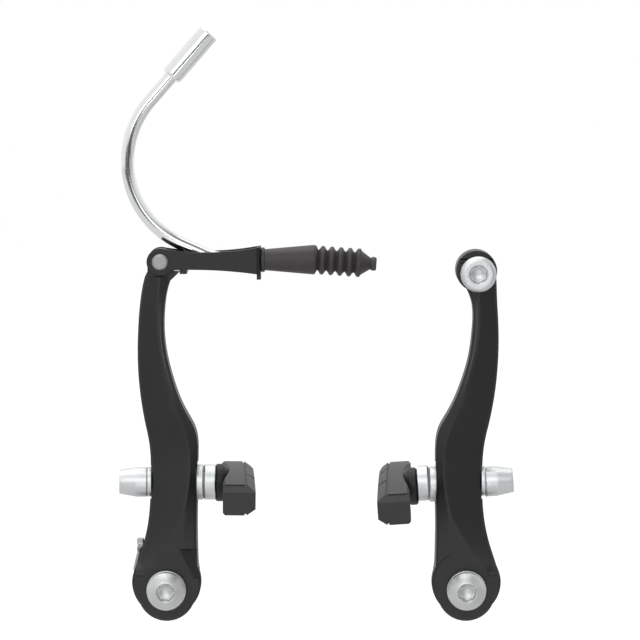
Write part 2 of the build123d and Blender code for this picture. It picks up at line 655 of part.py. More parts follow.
def brake_pad():
    """Moulded rubber pad with its flange, wear line and water grooves."""
    half = PAD_HEIGHT / 2
    face_half = half - PAD_FACE_CHAMFER_HEIGHT
    back_half = half - PAD_BACK_CHAMFER
    pad = bent_bar(
        (
            (PAD_BACK, -back_half),
            (PAD_BACK + PAD_BACK_CHAMFER, -half),
            (PAD_FACE - PAD_FACE_CHAMFER, -half),
            (PAD_FACE, -face_half),
            (PAD_FACE, face_half),
            (PAD_FACE - PAD_FACE_CHAMFER, half),
            (PAD_BACK + PAD_BACK_CHAMFER, half),
            (PAD_BACK, back_half),
        )
    )
    line_end = PAD_FACE - PAD_FACE_CHAMFER
    line_start = line_end - WEAR_LINE_WIDTH
    for side in (-1, 1):
        low = side * (half - WEAR_LINE_DEPTH)
        high = side * (half + WEAR_LINE_DEPTH)
        pad -= bent_bar(((line_start, low), (line_end, low), (line_end, high), (line_start, high)))
    # The back is waisted between its ends
    waist_radius = (PAD_WAIST_LENGTH**2 / 4 + PAD_WAIST_DEPTH**2) / (2 * PAD_WAIST_DEPTH)
    waist_centre = (PAD_BACK + PAD_WAIST_DEPTH - waist_radius, -POST_DEPTH, POST_HEIGHT)
    pad -= Pos(*waist_centre) * Cylinder(waist_radius, 4 * PAD_HEIGHT)
    # The rear end of the friction face tapers away from the rim
    rear = PAD_LENGTH / 2 - POST_DEPTH
    wedge = Polyline(
        (PAD_FACE, rear - PAD_TAPER_LENGTH),
        (PAD_FACE - PAD_TAPER_DEPTH, rear),
        (PAD_FACE - PAD_TAPER_DEPTH, rear + PAD_HEIGHT),
        (PAD_FACE + PAD_HEIGHT, rear + PAD_HEIGHT),
        (PAD_FACE + PAD_HEIGHT, rear - PAD_TAPER_LENGTH),
        close=True,
    )
    pad -= Pos(0, 0, POST_HEIGHT) * extrude(make_face(wedge), 4 * PAD_HEIGHT, both=True)
    # Both ends are bevelled along their top edges
    half_angle = PAD_LENGTH / PAD_CURVE_RADIUS / 2
    crown = PAD_CURVE_RADIUS + half
    for end in (-1, 1):
        y = end * crown * sin(half_angle) - POST_DEPTH
        z = POST_HEIGHT - PAD_CURVE_RADIUS + crown * cos(half_angle)
        bevel = Pos(PAD_BACK + PAD_THICKNESS / 2, y, z) * Rot(45, 0, 0)
        pad -= bevel * Box(2 * PAD_THICKNESS, PAD_NOSE_CHAMFER * sqrt(2), PAD_NOSE_CHAMFER * sqrt(2))
    first = -POST_DEPTH - WATER_GROOVE_SPACING * (WATER_GROOVE_COUNT - 1) / 2
    for index in range(WATER_GROOVE_COUNT):
        place = Pos(PAD_FACE, first + index * WATER_GROOVE_SPACING, POST_HEIGHT)
        pad -= place * Box(2 * WATER_GROOVE_DEPTH, WATER_GROOVE_WIDTH, 4 * PAD_HEIGHT)
    flange_radius = PAD_FLANGE_DIAMETER / 2
    flange = (
        (PAD_SEAT, 0),
        (PAD_SEAT, flange_radius - PAD_FLANGE_CHAMFER),
        (PAD_SEAT + PAD_FLANGE_CHAMFER, flange_radius),
        (PAD_BACK, flange_radius),
        (PAD_BACK + PAD_WAIST_DEPTH, PAD_HEIGHT / 2),
        (PAD_BACK + POST_IN_PAD + FACE_CLEARANCE, 0),
    )
    pad += turned(flange, POST_AXIS, INWARD)
    bore = POST_DIAMETER + 2 * SEAT_CLEARANCE
    return pad - disc(bore, 0, PAD_BACK + POST_IN_PAD, POST_AXIS, INWARD)


def tension_screw():
    """Small slotted screw that sets the left spring's preload."""
    axis = (0, -SCREW_DEPTH, SCREW_HEIGHT)
    end = -SCREW_SEAT - SCREW_HEAD_LENGTH
    head = disc(SCREW_HEAD_DIAMETER, end, -SCREW_SEAT, axis, INWARD)
    thread = disc(SCREW_THREAD_DIAMETER, -SCREW_SEAT, SCREW_THREAD_LENGTH - SCREW_SEAT, axis, INWARD)
    slot = Box(2 * SCREW_SLOT_DEPTH, 2 * SCREW_HEAD_DIAMETER, SCREW_SLOT_WIDTH)
    return head + thread - Pos(end, -SCREW_DEPTH, SCREW_HEIGHT) * slot


def link_rivet():
    """Rivet that pins the link to the arm's tongue."""
    front = ARM_MIDDLE + LINK_HALF_WIDTH
    back = ARM_MIDDLE - LINK_HALF_WIDTH
    head = RIVET_HEAD_DIAMETER / 2
    shank = LINK_PIN_DIAMETER / 2
    crown = head - RIVET_HEAD_HEIGHT / 2
    profile = (
        (back - RIVET_HEAD_HEIGHT, 0),
        (back - RIVET_HEAD_HEIGHT, crown),
        (back - RIVET_HEAD_HEIGHT / 2, head),
        (back, head),
        (back, shank),
        (front, shank),
        (front, head),
        (front + RIVET_HEAD_HEIGHT / 2, head),
        (front + RIVET_HEAD_HEIGHT, crown),
        (front + RIVET_HEAD_HEIGHT, 0),
    )
    return turned(profile, LINK_PIN, FRONT)


def noodle_link():
    """Folded sheet: two side plates joined by an end wall with a keyhole for the noodle's tip."""
    middle = (LINK_PIN_OFFSET + LINK_END) / 2
    top = Vector(LINK_PIN_OFFSET, 0, ARM_LENGTH + LINK_LOBE_RADIUS)
    bottom_start = LINK_PIN_OFFSET + LINK_LOBE_RADIUS
    end_top = Vector(LINK_END, 0, ARM_LENGTH + LINK_END_TOP)
    end_bottom = Vector(LINK_END, 0, ARM_LENGTH - LINK_END_BOTTOM)
    waist_top = Vector(middle, 0, ARM_LENGTH + LINK_WAIST_TOP)
    waist_bottom = Vector(middle, 0, ARM_LENGTH - LINK_WAIST_BOTTOM)
    lobe_bottom = Vector(bottom_start, 0, ARM_LENGTH - LINK_WAIST_BOTTOM)
    lobe_start = Vector(LINK_PIN_OFFSET, 0, ARM_LENGTH - LINK_WAIST_BOTTOM)
    upper = ThreePointArc(top, waist_top, end_top)
    lower = ThreePointArc(end_bottom, waist_bottom, lobe_bottom)
    side = make_face(
        [upper, Line(end_top, end_bottom), lower, Line(lobe_bottom, lobe_start), Line(lobe_start, top)]
    )
    profile = Pos(0, -ARM_MIDDLE, 0) * extrude(side, LINK_HALF_WIDTH, both=True, dir=(0, 1, 0))
    front = ARM_MIDDLE + LINK_HALF_WIDTH
    back = ARM_MIDDLE - LINK_HALF_WIDTH
    profile += disc(2 * LINK_LOBE_RADIUS, back, front, LINK_PIN, FRONT)
    tab_height = LINK_END_TAB + LINK_SHEET
    tab_centre = ARM_LENGTH - LINK_END_BOTTOM - LINK_END_TAB + tab_height / 2
    tab = Pos(LINK_END - LINK_SHEET / 2, -ARM_MIDDLE, tab_centre)
    profile += tab * Box(LINK_SHEET, 2 * LINK_HALF_GAP, tab_height)
    folds = profile.edges().filter_by(Axis.Z).group_by(Axis.X)[-1].filter_by(
        lambda edge: edge.length > LINK_END_TOP
    )
    link = fillet(folds, LINK_FOLD_RADIUS)
    inside = 2 * LINK_REACH
    gap = Pos(LINK_WALL - inside / 2, -ARM_MIDDLE, ARM_LENGTH) * Box(inside, 2 * LINK_HALF_GAP, inside)
    link -= gap
    tip_hole = TIP_DIAMETER + 2 * TIP_CLEARANCE
    tip_axis = (0, -ARM_MIDDLE, NOODLE_HEIGHT)
    link -= disc(tip_hole, LINK_WALL - LINK_SHEET, LINK_END + LINK_SHEET, tip_axis, INWARD)
    slot_height = 2 * LINK_END_TOP
    slot = Pos(LINK_END, -ARM_MIDDLE, NOODLE_HEIGHT + slot_height / 2)
    link -= slot * Box(4 * LINK_SHEET, CABLE_SLOT_WIDTH, slot_height)
    link -= disc(LINK_PIN_DIAMETER + 2 * SEAT_CLEARANCE, 0, 2 * BLADE_FRONT, LINK_PIN, FRONT)
    tab_low = ARM_LENGTH - LINK_WAIST_BOTTOM - STOP_TAB_DROP
    tab_start = SHOULDER_REACH + STOP_GAP
    stop = Pos(tab_start + STOP_TAB_LENGTH / 2, -ARM_MIDDLE, tab_low + STOP_TAB_DROP)
    return link + stop * Box(STOP_TAB_LENGTH, 2 * LINK_HALF_WIDTH, 2 * STOP_TAB_DROP)


def noodle_path():
    """Centre line of the noodle from the link's end wall to the end inside the ferrule."""
    foot = radians(NOODLE_FOOT_ANGLE)
    y = -ARM_MIDDLE
    start = Vector(LINK_WALL, y, NOODLE_HEIGHT)
    run_end = start + Vector(-NOODLE_END_RUN, 0, 0)
    first = Line(start, run_end)
    lift = Vector(-sin(foot), 0, 1 - cos(foot)) * NOODLE_FOOT_RADIUS
    half_lift = Vector(-sin(foot / 2), 0, 1 - cos(foot / 2)) * NOODLE_FOOT_RADIUS
    bend = ThreePointArc(run_end, run_end + half_lift, run_end + lift)
    rise = Vector(-cos(foot), 0, sin(foot))
    bend_start = run_end + lift + rise * NOODLE_FOOT_RUN
    second = Line(run_end + lift, bend_start)
    centre = bend_start + Vector(sin(foot), 0, cos(foot)) * NOODLE_BEND_RADIUS
    exit_angle = radians(NOODLE_EXIT_ANGLE)
    entry = -pi / 2 - foot
    leave = exit_angle + pi / 2 - 2 * pi
    middle_angle = (entry + leave) / 2
    bend_middle = centre + Vector(cos(middle_angle), 0, sin(middle_angle)) * NOODLE_BEND_RADIUS
    bend_end = centre + Vector(cos(leave), 0, sin(leave)) * NOODLE_BEND_RADIUS
    main_bend = ThreePointArc(bend_start, bend_middle, bend_end)
    heading = Vector(cos(exit_angle), 0, sin(exit_angle))
    last = Line(bend_end, bend_end + heading * (NOODLE_NECK + TUBE_IN_FERRULE))
    return [first, bend, second, main_bend, last], bend_end + heading * NOODLE_NECK, heading


def tube_along(edges, diameter):
    """Round bar swept along straight runs and arcs."""
    path = Wire(edges)
    section = Plane(origin=path @ 0, z_dir=path % 0) * Circle(diameter / 2)
    return sweep(section, path=path)


def noodle_tube():
    """Bent tube with a drawn-down tip that passes through the link's keyhole."""
    edges, _, _ = noodle_path()
    tip_axis = (LINK_WALL, -ARM_MIDDLE, NOODLE_HEIGHT)
    tip_end = LINK_SHEET + TIP_LENGTH
    tube = tube_along(edges, TUBE_DIAMETER) - tube_along(edges, TUBE_BORE)
    return tube + ring(TIP_DIAMETER, TUBE_BORE, 0, tip_end, tip_axis, INWARD)


def noodle_ferrule():
    """Ferrule at the noodle's upper end, bored for the cable housing."""
    _, base, heading = noodle_path()
    direction = tuple(heading)
    origin = tuple(base)
    body = ring(FERRULE_DIAMETER, TUBE_BORE, 0, FERRULE_LENGTH, origin, direction)
    body -= disc(TUBE_DIAMETER + 2 * SEAT_CLEARANCE, -1, TUBE_IN_FERRULE, origin, direction)
    return body - disc(HOUSING_BORE, FERRULE_LENGTH - HOUSING_DEPTH, FERRULE_LENGTH + 1, origin, direction)


def rubber_boot():
    """Boot that keeps dirt out of the noodle's tip: a straight body, and bellows that droop from it."""
    valley = BOOT_VALLEY_DIAMETER / 2
    half_flat = BOOT_RING_FLAT / 2
    body_end = BOOT_COLLAR_LENGTH + BOOT_BODY_LENGTH
    body = (
        (0, 0),
        (0, BOOT_COLLAR_DIAMETER / 2),
        (BOOT_COLLAR_LENGTH, BOOT_COLLAR_DIAMETER / 2),
        (BOOT_COLLAR_LENGTH, BOOT_NECK_DIAMETER / 2),
        (body_end, BOOT_BODY_DIAMETER / 2),
        (body_end, 0),
    )
    grip = TIP_DIAMETER / 2 + TIP_CLEARANCE
    bore_start = TIP_LENGTH + BOOT_SHOULDER
    body_bore = (
        (0, 0),
        (0, grip),
        (bore_start, grip),
        (bore_start, BOOT_BORE / 2),
        (body_end, BOOT_BORE / 2),
        (body_end, 0),
    )
    bellows = [
        (-BOOT_SHOULDER / 2, 0),
        (-BOOT_SHOULDER / 2, BOOT_BODY_DIAMETER / 2 - BOOT_SHOULDER / 2),
        (0, BOOT_BODY_DIAMETER / 2),
        (BOOT_SHOULDER, valley),
    ]
    for index in range(BOOT_RING_COUNT):
        crest = BOOT_SHOULDER + (index + 0.5) * BOOT_RING_PITCH
        bellows += [(crest - half_flat, BOOT_RING_DIAMETER / 2), (crest + half_flat, BOOT_RING_DIAMETER / 2)]
        if index < BOOT_RING_COUNT - 1:
            bellows.append((crest + BOOT_RING_PITCH / 2, valley))
    cone_start = BOOT_SHOULDER + (BOOT_RING_COUNT - 0.5) * BOOT_RING_PITCH
    cone_end = cone_start + BOOT_CONE_LENGTH
    end = cone_end + BOOT_TIP_LENGTH
    tip = BOOT_TIP_DIAMETER / 2
    bead = tip - half_flat
    bellows += [(cone_end, bead), (cone_end + half_flat, tip), (end - half_flat, tip), (end, bead), (end, 0)]
    bellows_bore = (
        (-BOOT_SHOULDER / 2, 0),
        (-BOOT_SHOULDER / 2, BOOT_BORE / 2),
        (cone_start, BOOT_BORE / 2),
        (cone_start + BOOT_CONE_LENGTH / 2, BOOT_TIP_BORE / 2),
        (end, BOOT_TIP_BORE / 2),
        (end, 0),
    )
    start = Vector(LINK_END + BOOT_GAP, -ARM_MIDDLE, NOODLE_HEIGHT)
    joint = tuple(start + Vector(body_end, 0, 0))
    start = tuple(start)
    droop = radians(BOOT_DROOP)
    heading = (cos(droop), 0, -sin(droop))
    boot = turned(body, start, INWARD) + turned(bellows, joint, heading)
    return boot - turned(body_bore, start, INWARD) - turned(bellows_bore, joint, heading)


def anchor_washer():
    """Pinch washer that holds the cable against the arm."""
    start = ANCHOR_LOBE_FRONT
    bore = ANCHOR_THREAD_DIAMETER + 2 * SEAT_CLEARANCE
    return ring(ANCHOR_WASHER_DIAMETER, bore, start, start + ANCHOR_WASHER_THICKNESS, ANCHOR_AXIS, FRONT)


def anchor_bolt():
    """Cable anchor bolt with a key socket."""
    seat = ANCHOR_LOBE_FRONT + ANCHOR_WASHER_THICKNESS
    top = seat + ANCHOR_HEAD_HEIGHT
    radius = ANCHOR_HEAD_DIAMETER / 2
    profile = (
        (BLADE_BACK, 0),
        (BLADE_BACK, ANCHOR_THREAD_DIAMETER / 2),
        (seat, ANCHOR_THREAD_DIAMETER / 2),
        (seat, radius),
        (top - ANCHOR_HEAD_CHAMFER, radius),
        (top, radius - ANCHOR_HEAD_CHAMFER),
        (top, 0),
    )
    return turned(profile, ANCHOR_AXIS, FRONT) - hex_socket(top, SOCKET_DEPTH, ANCHOR_AXIS, FRONT)


LEFT = Pos(-PIVOT_SPACING / 2, 0, 0)
RIGHT = Pos(PIVOT_SPACING / 2, 0, 0)


def on_left(piece):
    """Piece placed at the left pivot."""
    return LEFT * piece


def on_right(piece):
    """Piece turned into its mirror image and placed at the right pivot."""
    return RIGHT * mirror(piece, about=Plane.YZ)


pieces = {
    "left_arm": on_left(left_arm()),
    "right_arm": on_right(right_arm()),
    "tension_screw": on_left(tension_screw()),
    "link_rivet": on_left(link_rivet()),
    "noodle_link": on_left(noodle_link()),
    "noodle_tube": on_left(noodle_tube()),
    "noodle_ferrule": on_left(noodle_ferrule()),
    "rubber_boot": on_left(rubber_boot()),
    "cable_anchor_washer": on_right(anchor_washer()),
    "cable_anchor_bolt": on_right(anchor_bolt()),
    "left_return_spring": on_left(return_spring("left")),
    "right_return_spring": on_right(return_spring("right")),
}
PER_SIDE = {
    "pivot_bush": pivot_bush,
    "pivot_washer": pivot_washer,
    "pivot_bolt": pivot_bolt,
    "spring_plate": spring_plate,
}
AIMED = {
    "pad_nut": pad_nut,
    "pad_post": pad_post,
    "brake_pad": brake_pad,
}
for side, placed in (("left", on_left), ("right", on_right)):
    for name, make in PER_SIDE.items():
        pieces[f"{side}_{name}"] = placed(make())
    for name, make in AIMED.items():
        pieces[f"{side}_{name}"] = placed(aimed(make(), side))
    pieces[f"{side}_cup_washer"] = placed(slid(cup_washer(), DOME_CENTRE, side))
    pieces[f"{side}_dome_washer"] = placed(swivelled(dome_washer(), DOME_CENTRE, side))
    pieces[f"{side}_outer_cup_washer"] = placed(slid(outer_cup_washer(), OUTER_DOME_CENTRE, side))
    outer_dome = swivelled(outer_dome_washer(), OUTER_DOME_CENTRE, side)
    pieces[f"{side}_outer_dome_washer"] = placed(outer_dome)

os.makedirs("parts", exist_ok=True)
for name, piece in pieces.items():
    export_step(piece, f"parts/{name}.step")
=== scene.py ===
# %% [markdown]
# # Dressing a linear-pull rim brake
# The CAD frame holds every solid of the brake in metres: two arms on their pivots, pads on posts,
# and the noodle with its link and boot. Blender adds what the eye needs: rounded edges, smooth turned
# parts, wound wire, and finishes. The frame is loaded first, because every piece is fitted to it.

# %% Load the frame
import json
import math

import bpy
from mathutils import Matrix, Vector

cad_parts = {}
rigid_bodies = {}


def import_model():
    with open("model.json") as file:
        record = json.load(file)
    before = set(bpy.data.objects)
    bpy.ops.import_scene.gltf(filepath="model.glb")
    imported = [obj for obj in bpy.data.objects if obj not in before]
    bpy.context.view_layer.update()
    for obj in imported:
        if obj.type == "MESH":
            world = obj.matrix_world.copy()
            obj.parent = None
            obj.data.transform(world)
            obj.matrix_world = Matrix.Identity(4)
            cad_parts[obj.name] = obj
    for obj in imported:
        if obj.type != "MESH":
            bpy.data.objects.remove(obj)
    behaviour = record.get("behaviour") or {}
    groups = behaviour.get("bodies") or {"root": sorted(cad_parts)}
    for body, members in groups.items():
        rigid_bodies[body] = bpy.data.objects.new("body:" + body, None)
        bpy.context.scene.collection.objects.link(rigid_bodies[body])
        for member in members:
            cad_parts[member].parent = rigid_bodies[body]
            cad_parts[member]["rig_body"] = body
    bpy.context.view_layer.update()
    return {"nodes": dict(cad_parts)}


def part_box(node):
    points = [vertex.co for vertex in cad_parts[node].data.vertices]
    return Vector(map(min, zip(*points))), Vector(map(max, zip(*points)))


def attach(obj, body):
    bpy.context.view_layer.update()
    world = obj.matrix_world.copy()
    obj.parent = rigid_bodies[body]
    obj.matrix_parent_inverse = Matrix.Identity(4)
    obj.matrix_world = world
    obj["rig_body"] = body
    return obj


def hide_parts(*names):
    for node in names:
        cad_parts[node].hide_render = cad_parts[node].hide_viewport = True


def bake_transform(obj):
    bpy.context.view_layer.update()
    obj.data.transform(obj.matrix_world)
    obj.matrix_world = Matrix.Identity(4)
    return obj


MM = 0.001
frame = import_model()
nodes = frame["nodes"]

# %% [markdown]
# Colours are picked as sRGB hex values, the way they are read off a picture, while Blender's shaders
# work in linear light. One function converts them. A second one adds a shader node, sets it up and
# links it, so each material reads as a short list of its nodes.


# %% Colours and shader nodes
def linear(hex_colour):
    """Linear RGBA of an sRGB hex colour."""
    shares = [int(hex_colour[start : start + 2], 16) / 255 for start in (1, 3, 5)]
    light = [
        share / 12.92 if share <= 0.04045 else ((share + 0.055) / 1.055) ** 2.4 for share in shares
    ]
    return (*light, 1.0)


def add_node(tree, kind, settings=(), links=()):
    """Adds a node, sets its inputs or properties by name, and links (input, other node, output)."""
    node = tree.nodes.new(kind)
    for name, value in settings:
        if name in node.inputs:
            node.inputs[name].default_value = value
        else:
            setattr(node, name, value)
    for socket, other, output in links:
        tree.links.new(other.outputs[output], node.inputs[socket])
    return node


def start_material(name):
    """New material with its node tree, its shader and the object's own coordinates."""
    material = bpy.data.materials.new(name)
    material.use_nodes = True
    tree = material.node_tree
    return material, tree, tree.nodes["Principled BSDF"], add_node(tree, "ShaderNodeTexCoord")


print("mid grey #808080 is", round(linear("#808080")[0], 3), "in linear light")

# %% [markdown]
# The arms are forged aluminium under a satin black coat, and the link is steel sheet under a thinner
# one. One dark colour with one gloss would look like plastic. A sprayed coat is never so even: its tone
# and gloss drift over about a centimetre, and it dries with a fine orange peel. So a coarse noise drives
# tone and gloss, and a fine one drives a bump. The real peel is about 0.3 mm across, which is one pixel
# here, so it is drawn at 0.5 to 0.7 mm.

# %% Satin black coat
DRIFT_MM = 9


def finish_material(tree, shader, tone, gloss, relief):
    """Links the nodes of a tone, a gloss and a relief to a material's shader."""
    tree.links.new(tone.outputs["Color"], shader.inputs["Base Color"])
    tree.links.new(gloss.outputs["Result"], shader.inputs["Roughness"])
    tree.links.new(relief.outputs["Normal"], shader.inputs["Normal"])


def coated(name, dark, light, peel_mm, gloss, relief_mm):
    """Sprayed coat: tone and gloss drift slowly, and a fine peel ripples the surface."""
    material, tree, shader, place = start_material(name)
    drift = add_node(
        tree,
        "ShaderNodeTexNoise",
        [("Scale", 1 / (DRIFT_MM * MM)), ("Detail", 2.0)],
        [("Vector", place, "Object")],
    )
    tone = add_node(
        tree,
        "ShaderNodeMixRGB",
        [("Color1", linear(dark)), ("Color2", linear(light))],
        [("Fac", drift, "Fac")],
    )
    peel = add_node(
        tree,
        "ShaderNodeTexNoise",
        [("Scale", 1 / (peel_mm * MM)), ("Detail", 1.0)],
        [("Vector", place, "Object")],
    )
    sheen = add_node(
        tree,
        "ShaderNodeMapRange",
        [("To Min", gloss[0]), ("To Max", gloss[1])],
        [("Value", drift, "Fac")],
    )
    ripple = add_node(
        tree,
        "ShaderNodeBump",
        [("Strength", 0.6), ("Distance", relief_mm * MM)],
        [("Height", peel, "Fac")],
    )
    finish_material(tree, shader, tone, sheen, ripple)
    return material


arm_coat = coated("Satin black coat on forged aluminium", "#161617", "#1d1d1e", 0.7, (0.4, 0.5), 0.01)
link_coat = coated("Black coat on folded steel sheet", "#0f0f10", "#151516", 0.5, (0.34, 0.44), 0.008)
print("coats:", arm_coat.name, "and", link_coat.name)

# %% [markdown]
# Nuts and washers are turned steel with zinc plating, which is duller on the forged pivot bolts, and the
# noodle is a chromed tube. In a metal the base colour is the colour of its reflections. Plating clouds
# that tone over a few millimetres and dulls the gloss in a fine grain. A stretched noise would show the
# lines of a brush, but these pieces are tumbled and plated, so the noise is the same every way. The grain
# is really under 0.1 mm, so it is drawn at 0.4 to 0.6 mm.

# %% Metals
CLOUD_MM = 3


def plated(name, dark, light, grain_mm, gloss, relief_mm):
    """Bare or plated metal: cloudy tone, and a fine grain in its gloss and its relief."""
    material, tree, shader, place = start_material(name)
    shader.inputs["Metallic"].default_value = 1.0
    cloud = add_node(
        tree,
        "ShaderNodeTexNoise",
        [("Scale", 1 / (CLOUD_MM * MM)), ("Detail", 3.0)],
        [("Vector", place, "Object")],
    )
    tone = add_node(
        tree,
        "ShaderNodeMixRGB",
        [("Color1", linear(dark)), ("Color2", linear(light))],
        [("Fac", cloud, "Fac")],
    )
    grain = add_node(
        tree,
        "ShaderNodeTexNoise",
        [("Scale", 1 / (grain_mm * MM)), ("Detail", 2.0)],
        [("Vector", place, "Object")],
    )
    dulling = add_node(
        tree,
        "ShaderNodeMapRange",
        [("To Min", gloss[0]), ("To Max", gloss[1])],
        [("Value", grain, "Fac")],
    )
    relief = add_node(
        tree,
        "ShaderNodeBump",
        [("Strength", 0.4), ("Distance", relief_mm * MM)],
        [("Height", grain, "Fac")],
    )
    finish_material(tree, shader, tone, dulling, relief)
    return material


zinc = plated("Zinc plating on turned steel", "#d2d5d6", "#e0e2e3", 0.4, (0.38, 0.48), 0.0015)
bolt_zinc = plated("Dull zinc plating on forged bolts", "#cacccc", "#d7d9d9", 0.5, (0.4, 0.5), 0.002)
chrome = plated("Chrome plating on bent steel tube", "#e6e8e9", "#eff0f0", 0.6, (0.1, 0.16), 0.001)
rivet_metal = plated("Upset aluminium rivet", "#9a9d9c", "#abaead", 0.5, (0.4, 0.5), 0.004)
wire_steel = plated("Drawn spring steel wire", "#a4a7a8", "#b9bcbd", 0.4, (0.3, 0.38), 0.0005)
bush_steel = plated("Plain turned steel", "#96989a", "#a9abad", 0.4, (0.3, 0.4), 0.004)
metals = (zinc, bolt_zinc, chrome, rivet_metal, wire_steel, bush_steel)
print("metals:", ", ".join(metal.name for metal in metals))

# %% [markdown]
# Pads and boot are moulded black rubber, and the plates behind the arms are nylon from a like mould.
# Rubber is greyer than the coat beside it, because carbon black and chalk in it scatter light at the
# skin, and the mould leaves a matt grain with paler bloom. The grain could be modelled, but it is so
# shallow that a bump shows all of it. It is about 0.2 mm across on the real rubber and is drawn at 0.5
# to 0.6 mm, while the bloom's patches are their real size.


# %% Rubber and nylon
def moulded(name, dark, light, bloom_mm, grain_mm, gloss, relief_mm):
    """Moulded rubber or nylon: pale bloom in patches, and a matt mould grain."""
    material, tree, shader, place = start_material(name)
    shader.inputs["Specular IOR Level"].default_value = 0.45
    bloom = add_node(
        tree,
        "ShaderNodeTexNoise",
        [("Scale", 1 / (bloom_mm * MM)), ("Detail", 5.0), ("Roughness", 0.65)],
        [("Vector", place, "Object")],
    )
    tone = add_node(
        tree,
        "ShaderNodeMixRGB",
        [("Color1", linear(dark)), ("Color2", linear(light))],
        [("Fac", bloom, "Fac")],
    )
    grain = add_node(
        tree,
        "ShaderNodeTexNoise",
        [("Scale", 1 / (grain_mm * MM)), ("Detail", 2.0)],
        [("Vector", place, "Object")],
    )
    skin = add_node(
        tree,
        "ShaderNodeMapRange",
        [("To Min", gloss[0]), ("To Max", gloss[1])],
        [("Value", grain, "Fac")],
    )
    relief = add_node(
        tree,
        "ShaderNodeBump",
        [("Strength", 0.5), ("Distance", relief_mm * MM)],
        [("Height", grain, "Fac")],
    )
    finish_material(tree, shader, tone, skin, relief)
    return material


pad_rubber = moulded("Moulded black brake pad rubber", "#353232", "#434040", 6, 0.6, (0.45, 0.6), 0.012)
# The faces of the flange round the post are drawn in a darker moulding than the pad.
darker_flange_material = moulded(
    "Darker black moulding round the post", "#141414", "#1c1c1c", 5, 0.6, (0.45, 0.55), 0.006
)
boot_rubber = moulded("Moulded black boot rubber", "#433f40", "#504b4c", 5, 0.5, (0.42, 0.55), 0.008)
plate_nylon = moulded("Moulded black nylon", "#232323", "#2c2c2c", 5, 0.5, (0.5, 0.6), 0.01)
mouldings = (pad_rubber, darker_flange_material, boot_rubber, plate_nylon)
print("moulded:", ", ".join(moulding.name for moulding in mouldings))

# %% [markdown]
# Every operator works on what is selected, so each piece begins with a clean selection. Forged and
# turned edges are never quite sharp. A bevel shader would only fake that, so the pieces get a real,
# narrow bevel, and normals weighted by face area: that keeps flat facets flat and leaves the gleam to
# the bevels. Tubes, springs and the boot are round already and do without.

# %% Selecting and finishing
SHARP_DEG = 35
SMOOTH_ANGLE = math.radians(40)


def pick(piece):
    """Selects one object alone and makes it the active one."""
    bpy.ops.object.select_all(action="DESELECT")
    piece.select_set(True)
    bpy.context.view_layer.objects.active = piece


def choose(piece, test):
    """Opens a piece for editing with just those vertices selected whose place in mm passes a test."""
    pick(piece)
    bpy.ops.object.mode_set(mode="EDIT")
    bpy.ops.mesh.select_mode(type="VERT")
    bpy.ops.mesh.select_all(action="DESELECT")
    bpy.ops.object.mode_set(mode="OBJECT")
    for vertex in piece.data.vertices:
        vertex.select = test(vertex.co / MM)
    bpy.ops.object.mode_set(mode="EDIT")


def round_edges(piece, width_mm, sharper_than=SHARP_DEG):
    """Bevels the edges that turn by more than an angle in degrees, then shades the rest smooth."""
    pick(piece)
    bevel = piece.modifiers.new("Rounded edges", "BEVEL")
    bevel.width = width_mm * MM
    bevel.segments = 3
    bevel.limit_method = "ANGLE"
    bevel.angle_limit = math.radians(sharper_than)
    bpy.ops.object.modifier_apply(modifier=bevel.name)
    bpy.ops.object.shade_smooth_by_angle(angle=SMOOTH_ANGLE)
    weighted = piece.modifiers.new("Flat facets", "WEIGHTED_NORMAL")
    weighted.keep_sharp = True
    bpy.ops.object.modifier_apply(modifier=weighted.name)


def settle(piece, node, material):
    """Gives a piece its material and lets it stand for a CAD node."""
    piece.data.materials.clear()
    piece.data.materials.append(material)
    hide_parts(node)
    print(f"{piece.name}: {len(piece.data.polygons)} faces, {material.name}")


print("edges that turn by more than", SHARP_DEG, "degrees are rounded, unless a piece says otherwise")

# %% [markdown]
# Where the CAD solid already has the piece's shape, modelling it again would only risk moving it, so a
# copy of it is dressed. A CAD node itself is never changed: its mesh is copied, the copy's loose
# triangles are merged, flat areas are cleaned of their triangles, and the edges are rounded.

# %% Dressing a copy
MERGE_DISTANCE = 0.001 * MM
FLAT_ANGLE = math.radians(0.3)


def copy_node(node):
    """Merged copy of a CAD node's mesh."""
    piece = bpy.data.objects.new(node + "_piece", nodes[node].data.copy())
    bpy.context.scene.collection.objects.link(piece)
    pick(piece)
    if piece.data.has_custom_normals:
        bpy.ops.mesh.customdata_custom_splitnormals_clear()
    bpy.ops.object.mode_set(mode="EDIT")
    bpy.ops.mesh.select_all(action="SELECT")
    bpy.ops.mesh.remove_doubles(threshold=MERGE_DISTANCE)
    bpy.ops.mesh.dissolve_limited(angle_limit=FLAT_ANGLE)
    bpy.ops.object.mode_set(mode="OBJECT")
    return piece


def dress(node, material, width_mm, sharper_than=SHARP_DEG, piece=None):
    """Finishes a copy of a CAD node, which then rides on the node's body."""
    if piece is None:
        piece = copy_node(node)
    round_edges(piece, width_mm, sharper_than)
    settle(piece, node, material)
    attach(piece, nodes[node]["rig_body"])
    return piece


print("copies are merged at", MERGE_DISTANCE / MM, "mm")

# %% [markdown]
# The arms carry the look of the brake. They could be sculpted from a box, but the CAD loft already has
# the ridge that wanders down the blade and the facets on either side, so a copy with narrow rounded
# edges keeps that shape. On a forged arm the outer facet runs out softly on the round boss: there the
# copy gets a finer mesh, and a proportional resize lifts the facet's foot towards the boss's front.

# %% Arms
PIVOT = 48.0
BOSS_FRONT = 16.6
# The foot of the outer facet, outwards from the pivot and up: its line, then its middle and its reach.
FOOT_REACH, FOOT_HEIGHT, FOOT_SLOPE = 6.9, 3.9, 3.0 / 15.2
FOOT_OUT, FOOT_UP, FOOT_BLEND = 9.0, 4.0, 5


